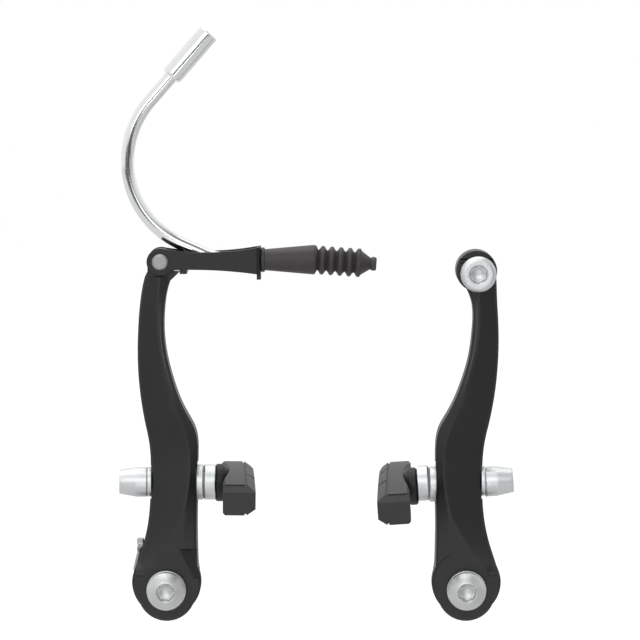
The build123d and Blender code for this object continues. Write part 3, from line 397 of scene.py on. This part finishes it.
def at_facet_foot(place):
    """Whether a point lies on the sloping line where the outer facet's floor ends on the boss."""
    outwards = abs(place.x) - PIVOT
    line = FOOT_HEIGHT + FOOT_SLOPE * (outwards - FOOT_REACH)
    on_floor = -BOSS_FRONT + 0.2 < place.y < -11.5
    return FOOT_REACH - 0.1 < outwards < 12 and abs(place.z - line) < 0.3 and on_floor


def near_facet_foot(place):
    """Whether a point lies on the front of the blade near the foot of its outer facet."""
    return 4.0 < abs(place.x) - PIVOT < 14 and -1 < place.z < 16 and place.y < -9


for arm, way in (("left_arm", -1), ("right_arm", 1)):
    piece = copy_node(arm)
    choose(piece, near_facet_foot)
    bpy.ops.mesh.quads_convert_to_tris()
    bpy.ops.mesh.subdivide(number_cuts=3)
    bpy.ops.object.mode_set(mode="OBJECT")
    choose(piece, at_facet_foot)
    bpy.ops.transform.resize(
        value=(1, 0.05, 1),
        orient_type="GLOBAL",
        center_override=Vector((way * (PIVOT + FOOT_OUT), -BOSS_FRONT, FOOT_UP)) * MM,
        use_proportional_edit=True,
        proportional_edit_falloff="SMOOTH",
        proportional_size=FOOT_BLEND * MM,
        use_proportional_connected=True,
    )
    bpy.ops.object.mode_set(mode="OBJECT")
    dress(arm, arm_coat, 0.3, sharper_than=20, piece=piece)

# %% [markdown]
# Each pad is one moulding, with soft edges from the mould, a wear line and water grooves. Its flange
# round the post is drawn darker, so those faces get a second, darker material. The plate behind each
# arm is nylon. The link is folded from sheet, its edges broken by tumbling. A box could be shaped into
# any of the three, but their solids already have the tilt and the grooves, so copies of them are dressed.

# %% Pads, spring plates and link
FLANGE_REACH, FLANGE_RADIUS = 5.4, 6.8
for side in ("left", "right"):
    pad = dress(side + "_brake_pad", pad_rubber, 0.35)
    low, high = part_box(side + "_dome_washer")
    seat = (low + high) / 2
    # The faces of the flange round the post get the second, darker material.
    pad.data.materials.append(darker_flange_material)
    for face in pad.data.polygons:
        away = face.center - seat
        if abs(away.x) < FLANGE_REACH * MM and math.hypot(away.y, away.z) < FLANGE_RADIUS * MM:
            face.material_index = 1
    dress(side + "_spring_plate", plate_nylon, 0.2)
dress("noodle_link", link_coat, 0.2)

# %% [markdown]
# Turned pieces start from a profile, as on a lathe. The profile is drawn by extruding one vertex from
# point to point, and Spin turns it about the axis. A cylinder primitive would do for plain pins, but
# the bolts have crowned heads, shoulders and rims, and those are easiest to see in a profile.

# %% Lathe
LATHE_STEPS = 72


def draw_line(name, points):
    """Wire object through points in metres, extruded from one vertex."""
    bpy.ops.object.select_all(action="DESELECT")
    bpy.ops.mesh.primitive_plane_add(size=MM, location=(0, 0, 0))
    piece = bpy.context.active_object
    piece.name = name
    bpy.ops.object.mode_set(mode="EDIT")
    bpy.ops.mesh.select_all(action="SELECT")
    bpy.ops.mesh.merge(type="CENTER")
    bpy.ops.transform.translate(value=points[0])
    for start, end in zip(points, points[1:]):
        bpy.ops.mesh.extrude_region_move(TRANSFORM_OT_translate={"value": end - start})
    bpy.ops.object.mode_set(mode="OBJECT")
    return piece


def close_seams():
    """Merges doubled vertices in edit mode, turns the faces outwards, and leaves edit mode."""
    bpy.ops.mesh.select_all(action="SELECT")
    bpy.ops.mesh.remove_doubles(threshold=MERGE_DISTANCE)
    bpy.ops.mesh.normals_make_consistent(inside=False)
    bpy.ops.object.mode_set(mode="OBJECT")


def lathe(name, profile_mm, origin_mm, heading):
    """Turned piece from (distance along the axis, radius) points."""
    origin = Vector(origin_mm) * MM
    axis = Vector(heading).normalized()
    outwards = axis.orthogonal().normalized()
    points = [origin + (axis * along + outwards * radius) * MM for along, radius in profile_mm]
    piece = draw_line(name, points)
    bpy.ops.object.mode_set(mode="EDIT")
    bpy.ops.mesh.select_all(action="SELECT")
    bpy.ops.mesh.spin(steps=LATHE_STEPS, angle=2 * math.pi, center=origin, axis=axis)
    close_seams()
    return piece


print("a turn has", LATHE_STEPS, "steps of", 360 / LATHE_STEPS, "degrees")

# %% [markdown]
# The key sockets of the bolts start as the real ones do, with two tools: a drill, whose pointed hole at
# the bottom is what catches the light, and a six-sided broach. Insetting and pushing in a face would do
# for the hexagon, but not under a crown, so both tools cut by a Boolean modifier. The drill is kept clear
# of the broach's flats and overlaps its floor, because a Boolean can fail on faces that just touch.

# %% Key sockets
SOCKET_FLATS, SOCKET_DEPTH = 5.0, 3.0
DRILL_CLEARANCE, DRILL_SLOPE = 0.1, math.radians(31)


def cut_socket(piece, place_mm, turn_deg=0):
    """Cuts a hexagon, its upper corner turned to the right, and a drill point into a front face."""
    drill_mm = SOCKET_FLATS / 2 - DRILL_CLEARANCE
    point_mm = drill_mm * math.tan(DRILL_SLOPE)
    centre = Vector(place_mm) * MM
    bpy.ops.object.select_all(action="DESELECT")
    bpy.ops.mesh.primitive_cone_add(
        vertices=48,
        radius1=drill_mm * MM,
        depth=point_mm * MM,
        location=centre + Vector((0, SOCKET_DEPTH + point_mm / 2 - DRILL_CLEARANCE, 0)) * MM,
        rotation=(-math.pi / 2, 0, 0),
    )
    drill = bpy.context.active_object
    bpy.ops.mesh.primitive_cylinder_add(
        vertices=6,
        radius=SOCKET_FLATS / math.sqrt(3) * MM,
        depth=2 * SOCKET_DEPTH * MM,
        location=centre,
        rotation=(math.pi / 2, math.radians(turn_deg), 0),
    )
    broach = bpy.context.active_object
    for tool in (broach, drill):
        pick(piece)
        cut = piece.modifiers.new("Key socket", "BOOLEAN")
        cut.object = tool
        bpy.ops.object.modifier_apply(modifier=cut.name)
        bpy.data.objects.remove(tool)


print("sockets for a", SOCKET_FLATS, "mm key,", SOCKET_DEPTH, "mm deep")

# %% [markdown]
# The pivot bolts hold the arms on the frame's studs. A sphere could be cut for their crowned heads, but
# in a profile the crown is one arc, and a slope inside it is the countersunk mouth of the socket. Each
# socket is turned as its bolt came to rest when it was tightened.

# %% Pivot bolts
FRONT = (0, -1, 0)
TIP, TIP_CHAMFER, THREAD_RADIUS = 1.5, 0.3, 3.0
NECK, NECK_RADIUS = 17.0, 3.4
SEAT, TOP, HEAD_RADIUS = 19.0, 24.0, 6.1
CROWN_RADIUS, CROWN_STEPS = 7.4, 8
MOUTH_RADIUS, MOUTH_DEPTH = 3.1, 0.7
shank = [(TIP, 0), (TIP, THREAD_RADIUS - TIP_CHAMFER), (TIP + TIP_CHAMFER, THREAD_RADIUS)]
shank += [(NECK, THREAD_RADIUS), (NECK, NECK_RADIUS), (SEAT, NECK_RADIUS), (SEAT, HEAD_RADIUS)]
crown_edge = math.asin(HEAD_RADIUS / CROWN_RADIUS)
mouth_edge = math.asin(MOUTH_RADIUS / CROWN_RADIUS)
crown = []
for step in range(CROWN_STEPS + 1):
    angle = crown_edge + (mouth_edge - crown_edge) * step / CROWN_STEPS
    crown.append((TOP - CROWN_RADIUS + CROWN_RADIUS * math.cos(angle), CROWN_RADIUS * math.sin(angle)))
mouth_floor = crown[-1][0] - MOUTH_DEPTH
mouth = [(mouth_floor, MOUTH_RADIUS - MOUTH_DEPTH), (mouth_floor, 0)]
for side, across, turn_deg in (("left", -PIVOT, -22), ("right", PIVOT, 2)):
    bolt = lathe(side + "_pivot_bolt_piece", shank + crown + mouth, (across, 0, 0), FRONT)
    cut_socket(bolt, (across, -TOP, 0), turn_deg)
    round_edges(bolt, 0.1, sharper_than=28)
    settle(bolt, side + "_pivot_bolt", bolt_zinc)
    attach(bolt, "frame_side")

# %% [markdown]
# The cable anchor bolt sits off the arm's middle line, and its washer pinches the cable against the arm's
# lobe. It could be a copy of its solid like the washer, but its flat head is bevelled round its rim and
# has the same countersunk socket, so it is turned and cut like the pivot bolts.

# %% Cable anchor
ANCHOR_ACROSS, ANCHOR_UP = 51.4, 101.1
ANCHOR_TIP, ANCHOR_SEAT, ANCHOR_TOP, ANCHOR_RADIUS = 4.2, 14.2, 17.8, 5.65
anchor_profile = [
    (ANCHOR_TIP, 0),
    (ANCHOR_TIP, THREAD_RADIUS - TIP_CHAMFER),
    (ANCHOR_TIP + TIP_CHAMFER, THREAD_RADIUS),
    (ANCHOR_SEAT, THREAD_RADIUS),
    (ANCHOR_SEAT, ANCHOR_RADIUS),
    (16.9, ANCHOR_RADIUS),
    (17.6, 5.0),
    (ANCHOR_TOP, 4.4),
    (ANCHOR_TOP, MOUTH_RADIUS),
    (ANCHOR_TOP - MOUTH_DEPTH, MOUTH_RADIUS - MOUTH_DEPTH),
    (ANCHOR_TOP - MOUTH_DEPTH, 0),
]
anchor = lathe("cable_anchor_bolt_piece", anchor_profile, (ANCHOR_ACROSS, 0, ANCHOR_UP), FRONT)
cut_socket(anchor, (ANCHOR_ACROSS, -ANCHOR_TOP, ANCHOR_UP))
round_edges(anchor, 0.1, sharper_than=15)
settle(anchor, "cable_anchor_bolt", zinc)
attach(anchor, "right_arm_side")
dress("cable_anchor_washer", zinc, 0.15)

# %% [markdown]
# The small turned pieces round the pad posts are tilted with the pads, so their solids are copied
# rather than turned again. Each gets the edge break that plating shows as a bright line. The rows give
# its width in mm, and the angle in degrees past which an edge gets it: less on the nut's tapered barrel.

# %% Washers, nuts and small fasteners
fittings = [
    ("pivot_washer", zinc, 0.25, SHARP_DEG),
    ("pivot_bush", bush_steel, 0.15, SHARP_DEG),
    ("cup_washer", zinc, 0.15, SHARP_DEG),
    ("dome_washer", zinc, 0.2, SHARP_DEG),
    ("outer_cup_washer", zinc, 0.1, SHARP_DEG),
    ("outer_dome_washer", zinc, 0.1, SHARP_DEG),
    ("pad_nut", zinc, 0.25, 28),
    ("pad_post", bush_steel, 0.2, SHARP_DEG),
]
for side in ("left", "right"):
    for fitting, metal, width_mm, sharper_than in fittings:
        dress(f"{side}_{fitting}", metal, width_mm, sharper_than)
dress("tension_screw", bush_steel, 0.2)
dress("link_rivet", rivet_metal, 0.35)

# %% [markdown]
# The noodle is a steel tube bent round two formers, then chromed. A Bezier curve could follow it, but a
# bent tube has true arcs, so its centre line is drawn as the bender would feed it: straight, a small
# bend, straight, the big bend, straight. Each bend spins the line's last vertex about the former's
# centre. The line then becomes a curve with a round bevel, so the tube is smooth all the way along,
# which matters under chrome.


# %% Noodle tube
def select_last(piece, place):
    """Selects the one vertex of a wire that lies nearest to a place, in edit mode."""
    bpy.ops.mesh.select_all(action="DESELECT")
    bpy.ops.object.mode_set(mode="OBJECT")
    nearest = min(piece.data.vertices, key=lambda vertex: (vertex.co - place).length)
    nearest.select = True
    bpy.ops.object.mode_set(mode="EDIT")
    return nearest.co.copy()


def feed(piece, end, heading, length_mm):
    """Extrudes the wire's last vertex straight on."""
    end = select_last(piece, end)
    step = heading * length_mm * MM
    bpy.ops.mesh.extrude_region_move(TRANSFORM_OT_translate={"value": step})
    return end + step


def swing(arrow, turn):
    """An arrow in the brake's own plane, turned clockwise as seen from the front."""
    across = arrow.x * math.cos(turn) + arrow.z * math.sin(turn)
    up = arrow.z * math.cos(turn) - arrow.x * math.sin(turn)
    return Vector((across, 0, up))


def bend(piece, end, heading, radius_mm, degrees, steps):
    """Spins the wire's last vertex round a former that lies on its right, seen from the front."""
    end = select_last(piece, end)
    right = Vector((heading.z, 0, -heading.x))
    centre = end + right * radius_mm * MM
    turn = math.radians(degrees)
    bpy.ops.mesh.spin(steps=steps, angle=turn, center=centre, axis=FRONT)
    return centre + swing(end - centre, turn), swing(heading, turn)


def wire_to_tube(piece, diameter_mm):
    """Turns a wire into a smooth round tube."""
    pick(piece)
    bpy.ops.object.convert(target="CURVE")
    piece.data.bevel_depth = diameter_mm / 2 * MM
    piece.data.bevel_resolution = 8
    piece.data.use_fill_caps = True
    bpy.ops.object.convert(target="MESH")
    bpy.ops.object.mode_set(mode="EDIT")
    close_seams()
    bpy.ops.object.shade_smooth_by_angle(angle=SMOOTH_ANGLE)


NOODLE_START = Vector((-19.0, -9.0, 105.25)) * MM
TUBE_DIAMETER, TUBE_SEAT = 4.2, 4.0
FIRST_RUN, MIDDLE_RUN, LAST_RUN = 7.3, 7.2, 10.5
SMALL_RADIUS, SMALL_BEND = 25.0, 24.0
BIG_RADIUS, BIG_BEND = 28.8, 107.1
heading = Vector((-1, 0, 0))
end = NOODLE_START + heading * FIRST_RUN * MM
noodle = draw_line("noodle_tube_piece", [NOODLE_START, end])
bpy.ops.object.mode_set(mode="EDIT")
end, heading = bend(noodle, end, heading, SMALL_RADIUS, SMALL_BEND, steps=10)
end = feed(noodle, end, heading, MIDDLE_RUN)
end, heading = bend(noodle, end, heading, BIG_RADIUS, BIG_BEND, steps=44)
ferrule_base = end + heading * LAST_RUN * MM
feed(noodle, end, heading, LAST_RUN + TUBE_SEAT)
bpy.ops.object.mode_set(mode="OBJECT")
wire_to_tube(noodle, TUBE_DIAMETER)
settle(noodle, "noodle_tube", chrome)
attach(noodle, "noodle_side")
print("ferrule base at", [round(along / MM, 1) for along in ferrule_base], "mm")

# %% [markdown]
# The ferrule that takes the cable housing is turned and chromed like the tube, with a rolled rim. A
# thickened tube would have square rims, so its profile goes up the outside, over the rim and down the
# bore, and it is a real cup seen from above. The tube sits in a socket at its foot.

# %% Ferrule
TUBE_HOLE, FERRULE_RADIUS, BORE_RADIUS, CABLE_RADIUS = 2.12, 3.3, 2.6, 1.2
RIM_START, BORE_FLOOR = 17.9, 5.4
ferrule_profile = [
    (0, TUBE_HOLE),
    (0, 2.7),
    (0.5, 3.2),
    (1.0, FERRULE_RADIUS),
    (RIM_START, FERRULE_RADIUS),
    (18.25, 3.15),
    (18.4, 2.95),
    (18.25, 2.65),
    (RIM_START, BORE_RADIUS),
    (BORE_FLOOR, BORE_RADIUS),
    (BORE_FLOOR, CABLE_RADIUS),
    (TUBE_SEAT, CABLE_RADIUS),
    (TUBE_SEAT, TUBE_HOLE),
    (0, TUBE_HOLE),
]
ferrule = lathe("noodle_ferrule_piece", ferrule_profile, ferrule_base / MM, heading)
round_edges(ferrule, 0.12, sharper_than=50)
settle(ferrule, "noodle_ferrule", chrome)
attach(ferrule, "noodle_side")

# %% [markdown]
# The rubber boot keeps dirt off the cable and is moulded with five rings. A stack of tori would leave
# seams, so the whole boot is one profile: a collar and a slowly widening body, then rings with round
# crests and sharp valleys, a cone that ends in a bead, and the bore back to the start.

# %% Boot profile
LIP_RADIUS, BOOT_BORE, TIP_BORE = 1.75, 2.3, 1.0
BODY_END = 17.0
BELLOWS_START = BODY_END + 1.1
RINGS, RING_PITCH, VALLEY_RADIUS = 5, 2.9, 3.2
CONE_END = BELLOWS_START + (RINGS - 0.5) * RING_PITCH + 3.9
ring_outline = [(-0.95, 3.75), (-0.6, 4.35), (-0.25, 4.6), (0.25, 4.6), (0.6, 4.35), (0.95, 3.75)]
bead_outline = [(-0.1, 1.85), (0.15, 2.05), (0.5, 2.2), (1.3, 2.2), (1.65, 2.05), (1.8, 1.8)]
boot_profile = [(0, LIP_RADIUS), (0, 3.7), (0.25, 3.95), (0.95, 3.95), (1.2, 3.7), (1.25, 3.4)]
boot_profile += [(16.3, 4.7), (BODY_END, 4.72), (BODY_END + 0.45, 4.5), (BELLOWS_START, VALLEY_RADIUS)]
for ring in range(RINGS):
    crest = BELLOWS_START + (ring + 0.5) * RING_PITCH
    boot_profile += [(crest + along, radius) for along, radius in ring_outline]
    if ring < RINGS - 1:
        boot_profile.append((crest + RING_PITCH / 2, VALLEY_RADIUS))
boot_profile += [(CONE_END + along, radius) for along, radius in bead_outline]
boot_profile += [(CONE_END + 1.8, TIP_BORE), (CONE_END - 1.9, TIP_BORE), (CONE_END - 3.8, BOOT_BORE)]
boot_profile += [(4.7, BOOT_BORE), (4.7, LIP_RADIUS), (0, LIP_RADIUS)]
print("boot profile of", len(boot_profile), "points")

# %% [markdown]
# The boot is turned straight and then bent where its bellows begin, because the soft rings droop. A
# lattice could bend all of it, but the thicker body of the real one stays straight, so only the bellows
# are selected and rotated about their root.

# %% Rubber boot
BOOT_START = Vector((-17.65, -9.0, 105.25))
DROOP, RING_SMOOTHING = math.radians(4.0), math.radians(50)
boot = lathe("rubber_boot_piece", boot_profile, BOOT_START, (1, 0, 0))
root = (BOOT_START + Vector((BODY_END, 0, 0))) * MM
choose(boot, lambda place: place.x > root.x / MM + 0.3)
bpy.ops.transform.rotate(value=-DROOP, orient_axis="Y", orient_type="GLOBAL", center_override=root)
bpy.ops.object.mode_set(mode="OBJECT")
bpy.ops.object.shade_smooth_by_angle(angle=RING_SMOOTHING)
settle(boot, "rubber_boot", boot_rubber)
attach(boot, "noodle_side")
print("boot tip at", round(max(vertex.co.x for vertex in boot.data.vertices) / MM, 1), "mm across")

# %% [markdown]
# Each return spring is hard-drawn wire: a coil round the pivot and a leg that bears on the arm. A screw
# modifier could wind the coil, but the leg has to flow out of it, so one wire is drawn through both, its
# corners are rounded with a vertex bevel, and it becomes a tube like the noodle. Only the left leg has
# corners: it steps out past the boss, while the right one rises straight.

# %% Return springs
COIL_RADIUS, COIL_PITCH, COIL_START, WIRE = 6.6, 1.6, 2.9, 1.4
COIL_STEPS, STEPS_A_TURN = 42, 24
CORNER_UP, CORNER_ROUNDING = 3.0, 1.6
legs = {
    "left": [(-COIL_RADIUS, CORNER_UP), (-11.15, CORNER_UP), (-9.3, 10.55)],
    "right": [(-COIL_RADIUS, 16.0)],
}
for side, across, way in (("left", -PIVOT, 1), ("right", PIVOT, -1)):
    route = []
    for step in range(COIL_STEPS, -1, -1):
        turn = step / STEPS_A_TURN * 2 * math.pi
        depth = -COIL_START - COIL_PITCH * step / STEPS_A_TURN
        route.append((-COIL_RADIUS * math.cos(turn), depth, -COIL_RADIUS * math.sin(turn)))
    route += [(x, -COIL_START, z) for x, z in legs[side]]
    spring = draw_line(
        side + "_return_spring_piece", [Vector((across + way * x, y, z)) * MM for x, y, z in route]
    )
    choose(spring, lambda place: abs(place.z - CORNER_UP) < 0.1)
    bpy.ops.mesh.bevel(offset=CORNER_ROUNDING * MM, segments=6, affect="VERTICES")
    bpy.ops.object.mode_set(mode="OBJECT")
    wire_to_tube(spring, WIRE)
    settle(spring, side + "_return_spring", wire_steel)
    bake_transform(spring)

# %% [markdown]
# The camera of the picture stands almost level with the brake, about 0.9 m away and a little above it.
# It could be placed by eye, but a target, a distance, a downward tilt and the width of the view are
# easier to match to the picture one at a time, and the lens follows from them.

# %% Camera
TARGET = Vector((1.15, -9.0, 85.9)) * MM
DISTANCE = 900 * MM
ELEVATION = math.radians(5.5)
VIEW_WIDTH = 204.8 * MM
camera_data = bpy.data.cameras.new("Camera")
camera = bpy.data.objects.new("Camera", camera_data)
bpy.context.scene.collection.objects.link(camera)
camera.location = TARGET + DISTANCE * Vector((0, -math.cos(ELEVATION), math.sin(ELEVATION)))
camera.rotation_euler = (math.pi / 2 - ELEVATION, 0, 0)
camera_data.sensor_width = 36
camera_data.lens = camera_data.sensor_width * DISTANCE / VIEW_WIDTH
camera_data.clip_start = 0.05
bpy.context.scene.camera = camera
print(f"lens {camera_data.lens:.1f} mm")

# %% [markdown]
# A product picture like this is taken on a white paper sweep. A curved sheet could be modelled, but only
# its white and its reflection would show, so a plane does. The brake is held up by its pivots, so the
# floor lies well below it and its shadow stays out of the picture. To the camera the paper shows as
# white. Reflections see it pale under the brake, dark far in front, where the real paper ends, and a
# little greyer on the right. To everything else it is plain pale paper that returns a little light from
# below.

# %% Floor
FLOOR_SIZE, FLOOR_HEIGHT = 8, -0.3
bpy.ops.object.select_all(action="DESELECT")
bpy.ops.mesh.primitive_plane_add(size=FLOOR_SIZE, location=(0, 0, FLOOR_HEIGHT))
floor = bpy.context.active_object
floor.name = "floor"
floor_paper, paper_tree, paper_shader, paper_place = start_material("White paper sweep")
paper_shader.inputs["Base Color"].default_value = linear("#f4f4f4")
paper_shader.inputs["Roughness"].default_value = 0.9
paper_path = add_node(paper_tree, "ShaderNodeLightPath")
paper_share = add_node(
    paper_tree,
    "ShaderNodeMath",
    [("operation", "MAXIMUM")],
    [(0, paper_path, "Is Camera Ray"), (1, paper_path, "Is Glossy Ray")],
)
paper_axes = add_node(paper_tree, "ShaderNodeSeparateXYZ", [], [("Vector", paper_place, "Object")])
paper_shade = add_node(
    paper_tree,
    "ShaderNodeMapRange",
    [("From Min", -2.4), ("From Max", -1.2), ("To Min", 0.1), ("To Max", 0.8)],
    [("Value", paper_axes, "Y")],
)
paper_right = add_node(
    paper_tree,
    "ShaderNodeMapRange",
    [("From Min", 0.1), ("From Max", 0.35), ("To Min", 1.0), ("To Max", 0.85)],
    [("Value", paper_axes, "X")],
)
paper_seen = add_node(
    paper_tree,
    "ShaderNodeMath",
    [("operation", "MULTIPLY")],
    [(0, paper_shade, "Result"), (1, paper_right, "Result")],
)
paper_level = add_node(
    paper_tree,
    "ShaderNodeMix",
    [("B", 1.1)],
    [("Factor", paper_path, "Is Camera Ray"), ("A", paper_seen, "Value")],
)
paper_white = add_node(
    paper_tree,
    "ShaderNodeEmission",
    [("Color", linear("#ffffff"))],
    [("Strength", paper_level, "Result")],
)
paper_mix = add_node(
    paper_tree,
    "ShaderNodeMixShader",
    [],
    [("Fac", paper_share, "Value"), (1, paper_shader, "BSDF"), (2, paper_white, "Emission")],
)
paper_tree.links.new(paper_mix.outputs["Shader"], paper_tree.nodes["Material Output"].inputs["Surface"])
floor.data.materials.append(floor_paper)
print("floor at", floor.location.z, "m")

# %% [markdown]
# The arms' flats shine towards the camera while the facets beside them stay dark, so the light comes
# from the front: a wide softbox above the camera and a small one below it. A softbox overhead lights
# the tops of pads and boot and draws the bright lines along the upper edges. A sun or a spot would draw
# hard shadows, and the picture has none.


# %% Lamps
def softbox(name, place_mm, aim_mm, width_mm, height_mm, watts):
    """Rectangular area lamp that faces a point."""
    data = bpy.data.lights.new(name, "AREA")
    data.shape = "RECTANGLE"
    data.size = width_mm * MM
    data.size_y = height_mm * MM
    data.energy = watts
    lamp = bpy.data.objects.new(name, data)
    bpy.context.scene.collection.objects.link(lamp)
    lamp.location = Vector(place_mm) * MM
    toward = Vector(aim_mm) * MM - lamp.location
    lamp.rotation_euler = toward.to_track_quat("-Z", "Y").to_euler()
    print(f"{name}: {width_mm} by {height_mm} mm, {watts} W")


MIDDLE = (0, -9, 80)
softbox("Front softbox", (-80, -1100, 480), MIDDLE, 1000, 650, 2.8)
softbox("Low softbox", (0, -1100, -170), MIDDLE, 500, 200, 0.85)
softbox("Top softbox", (-100, 100, 900), MIDDLE, 800, 800, 3.0)

# %% [markdown]
# The world is the white studio round the brake. A photograph of a studio could surround it, but a few
# ramps along the axes do the same and are tuned one at a time. The camera sees the world white. Metal
# sees it as a room: white behind and on the left, and in front white above the camera, dark in a strip
# at its height, and grey towards the right, up to a paler wall. The strip is what gives chrome its dark
# line. Everything else gets a weak, even light from it.

# %% World
world = bpy.data.worlds.new("Studio")
bpy.context.scene.world = world
world.use_nodes = True
sky = world.node_tree
sky.nodes["Background"].inputs["Color"].default_value = linear("#ffffff")
sky_path = add_node(sky, "ShaderNodeLightPath")
sky_way = add_node(sky, "ShaderNodeTexCoord")
sky_axes = add_node(sky, "ShaderNodeSeparateXYZ", [], [("Vector", sky_way, "Generated")])
sky_height = add_node(
    sky,
    "ShaderNodeMapRange",
    [("From Min", 0.02), ("From Max", 0.2), ("To Min", 0.1), ("To Max", 0.9)],
    [("Value", sky_axes, "Z")],
)
sky_gap = add_node(
    sky,
    "ShaderNodeMapRange",
    [("From Min", 0.05), ("From Max", 0.3), ("To Min", 1.0), ("To Max", 0.35)],
    [("Value", sky_axes, "X")],
)
sky_shade = add_node(
    sky,
    "ShaderNodeMath",
    [("operation", "MULTIPLY")],
    [(0, sky_height, "Result"), (1, sky_gap, "Result")],
)
sky_front = add_node(
    sky,
    "ShaderNodeMapRange",
    [("From Min", -0.7), ("From Max", -0.4), ("To Min", 0.95)],
    [("Value", sky_axes, "X"), ("To Max", sky_shade, "Value")],
)
sky_right = add_node(
    sky,
    "ShaderNodeMapRange",
    [("From Min", 0.45), ("From Max", 0.7), ("To Max", 0.5)],
    [("Value", sky_axes, "X")],
)
sky_sides = add_node(
    sky,
    "ShaderNodeMath",
    [("operation", "ADD")],
    [(0, sky_front, "Result"), (1, sky_right, "Result")],
)
sky_behind = add_node(
    sky, "ShaderNodeMapRange", [("From Min", -0.1), ("From Max", 0.5)], [("Value", sky_axes, "Y")]
)
sky_room = add_node(
    sky, "ShaderNodeMix", [("B", 1.0)], [("Factor", sky_behind, "Result"), ("A", sky_sides, "Value")]
)
sky_mirrored = add_node(
    sky,
    "ShaderNodeMath",
    [("operation", "ADD"), ("use_clamp", True)],
    [(0, sky_path, "Is Glossy Ray"), (1, sky_path, "Is Transmission Ray")],
)
sky_light = add_node(
    sky, "ShaderNodeMix", [("A", 0.2)], [("Factor", sky_mirrored, "Value"), ("B", sky_room, "Result")]
)
sky_strength = add_node(
    sky,
    "ShaderNodeMix",
    [("B", 1.0)],
    [("Factor", sky_path, "Is Camera Ray"), ("A", sky_light, "Result")],
)
sky.links.new(sky_strength.outputs["Result"], sky.nodes["Background"].inputs["Strength"])
bpy.context.scene.view_settings.view_transform = "Standard"
print("world:", world.name)
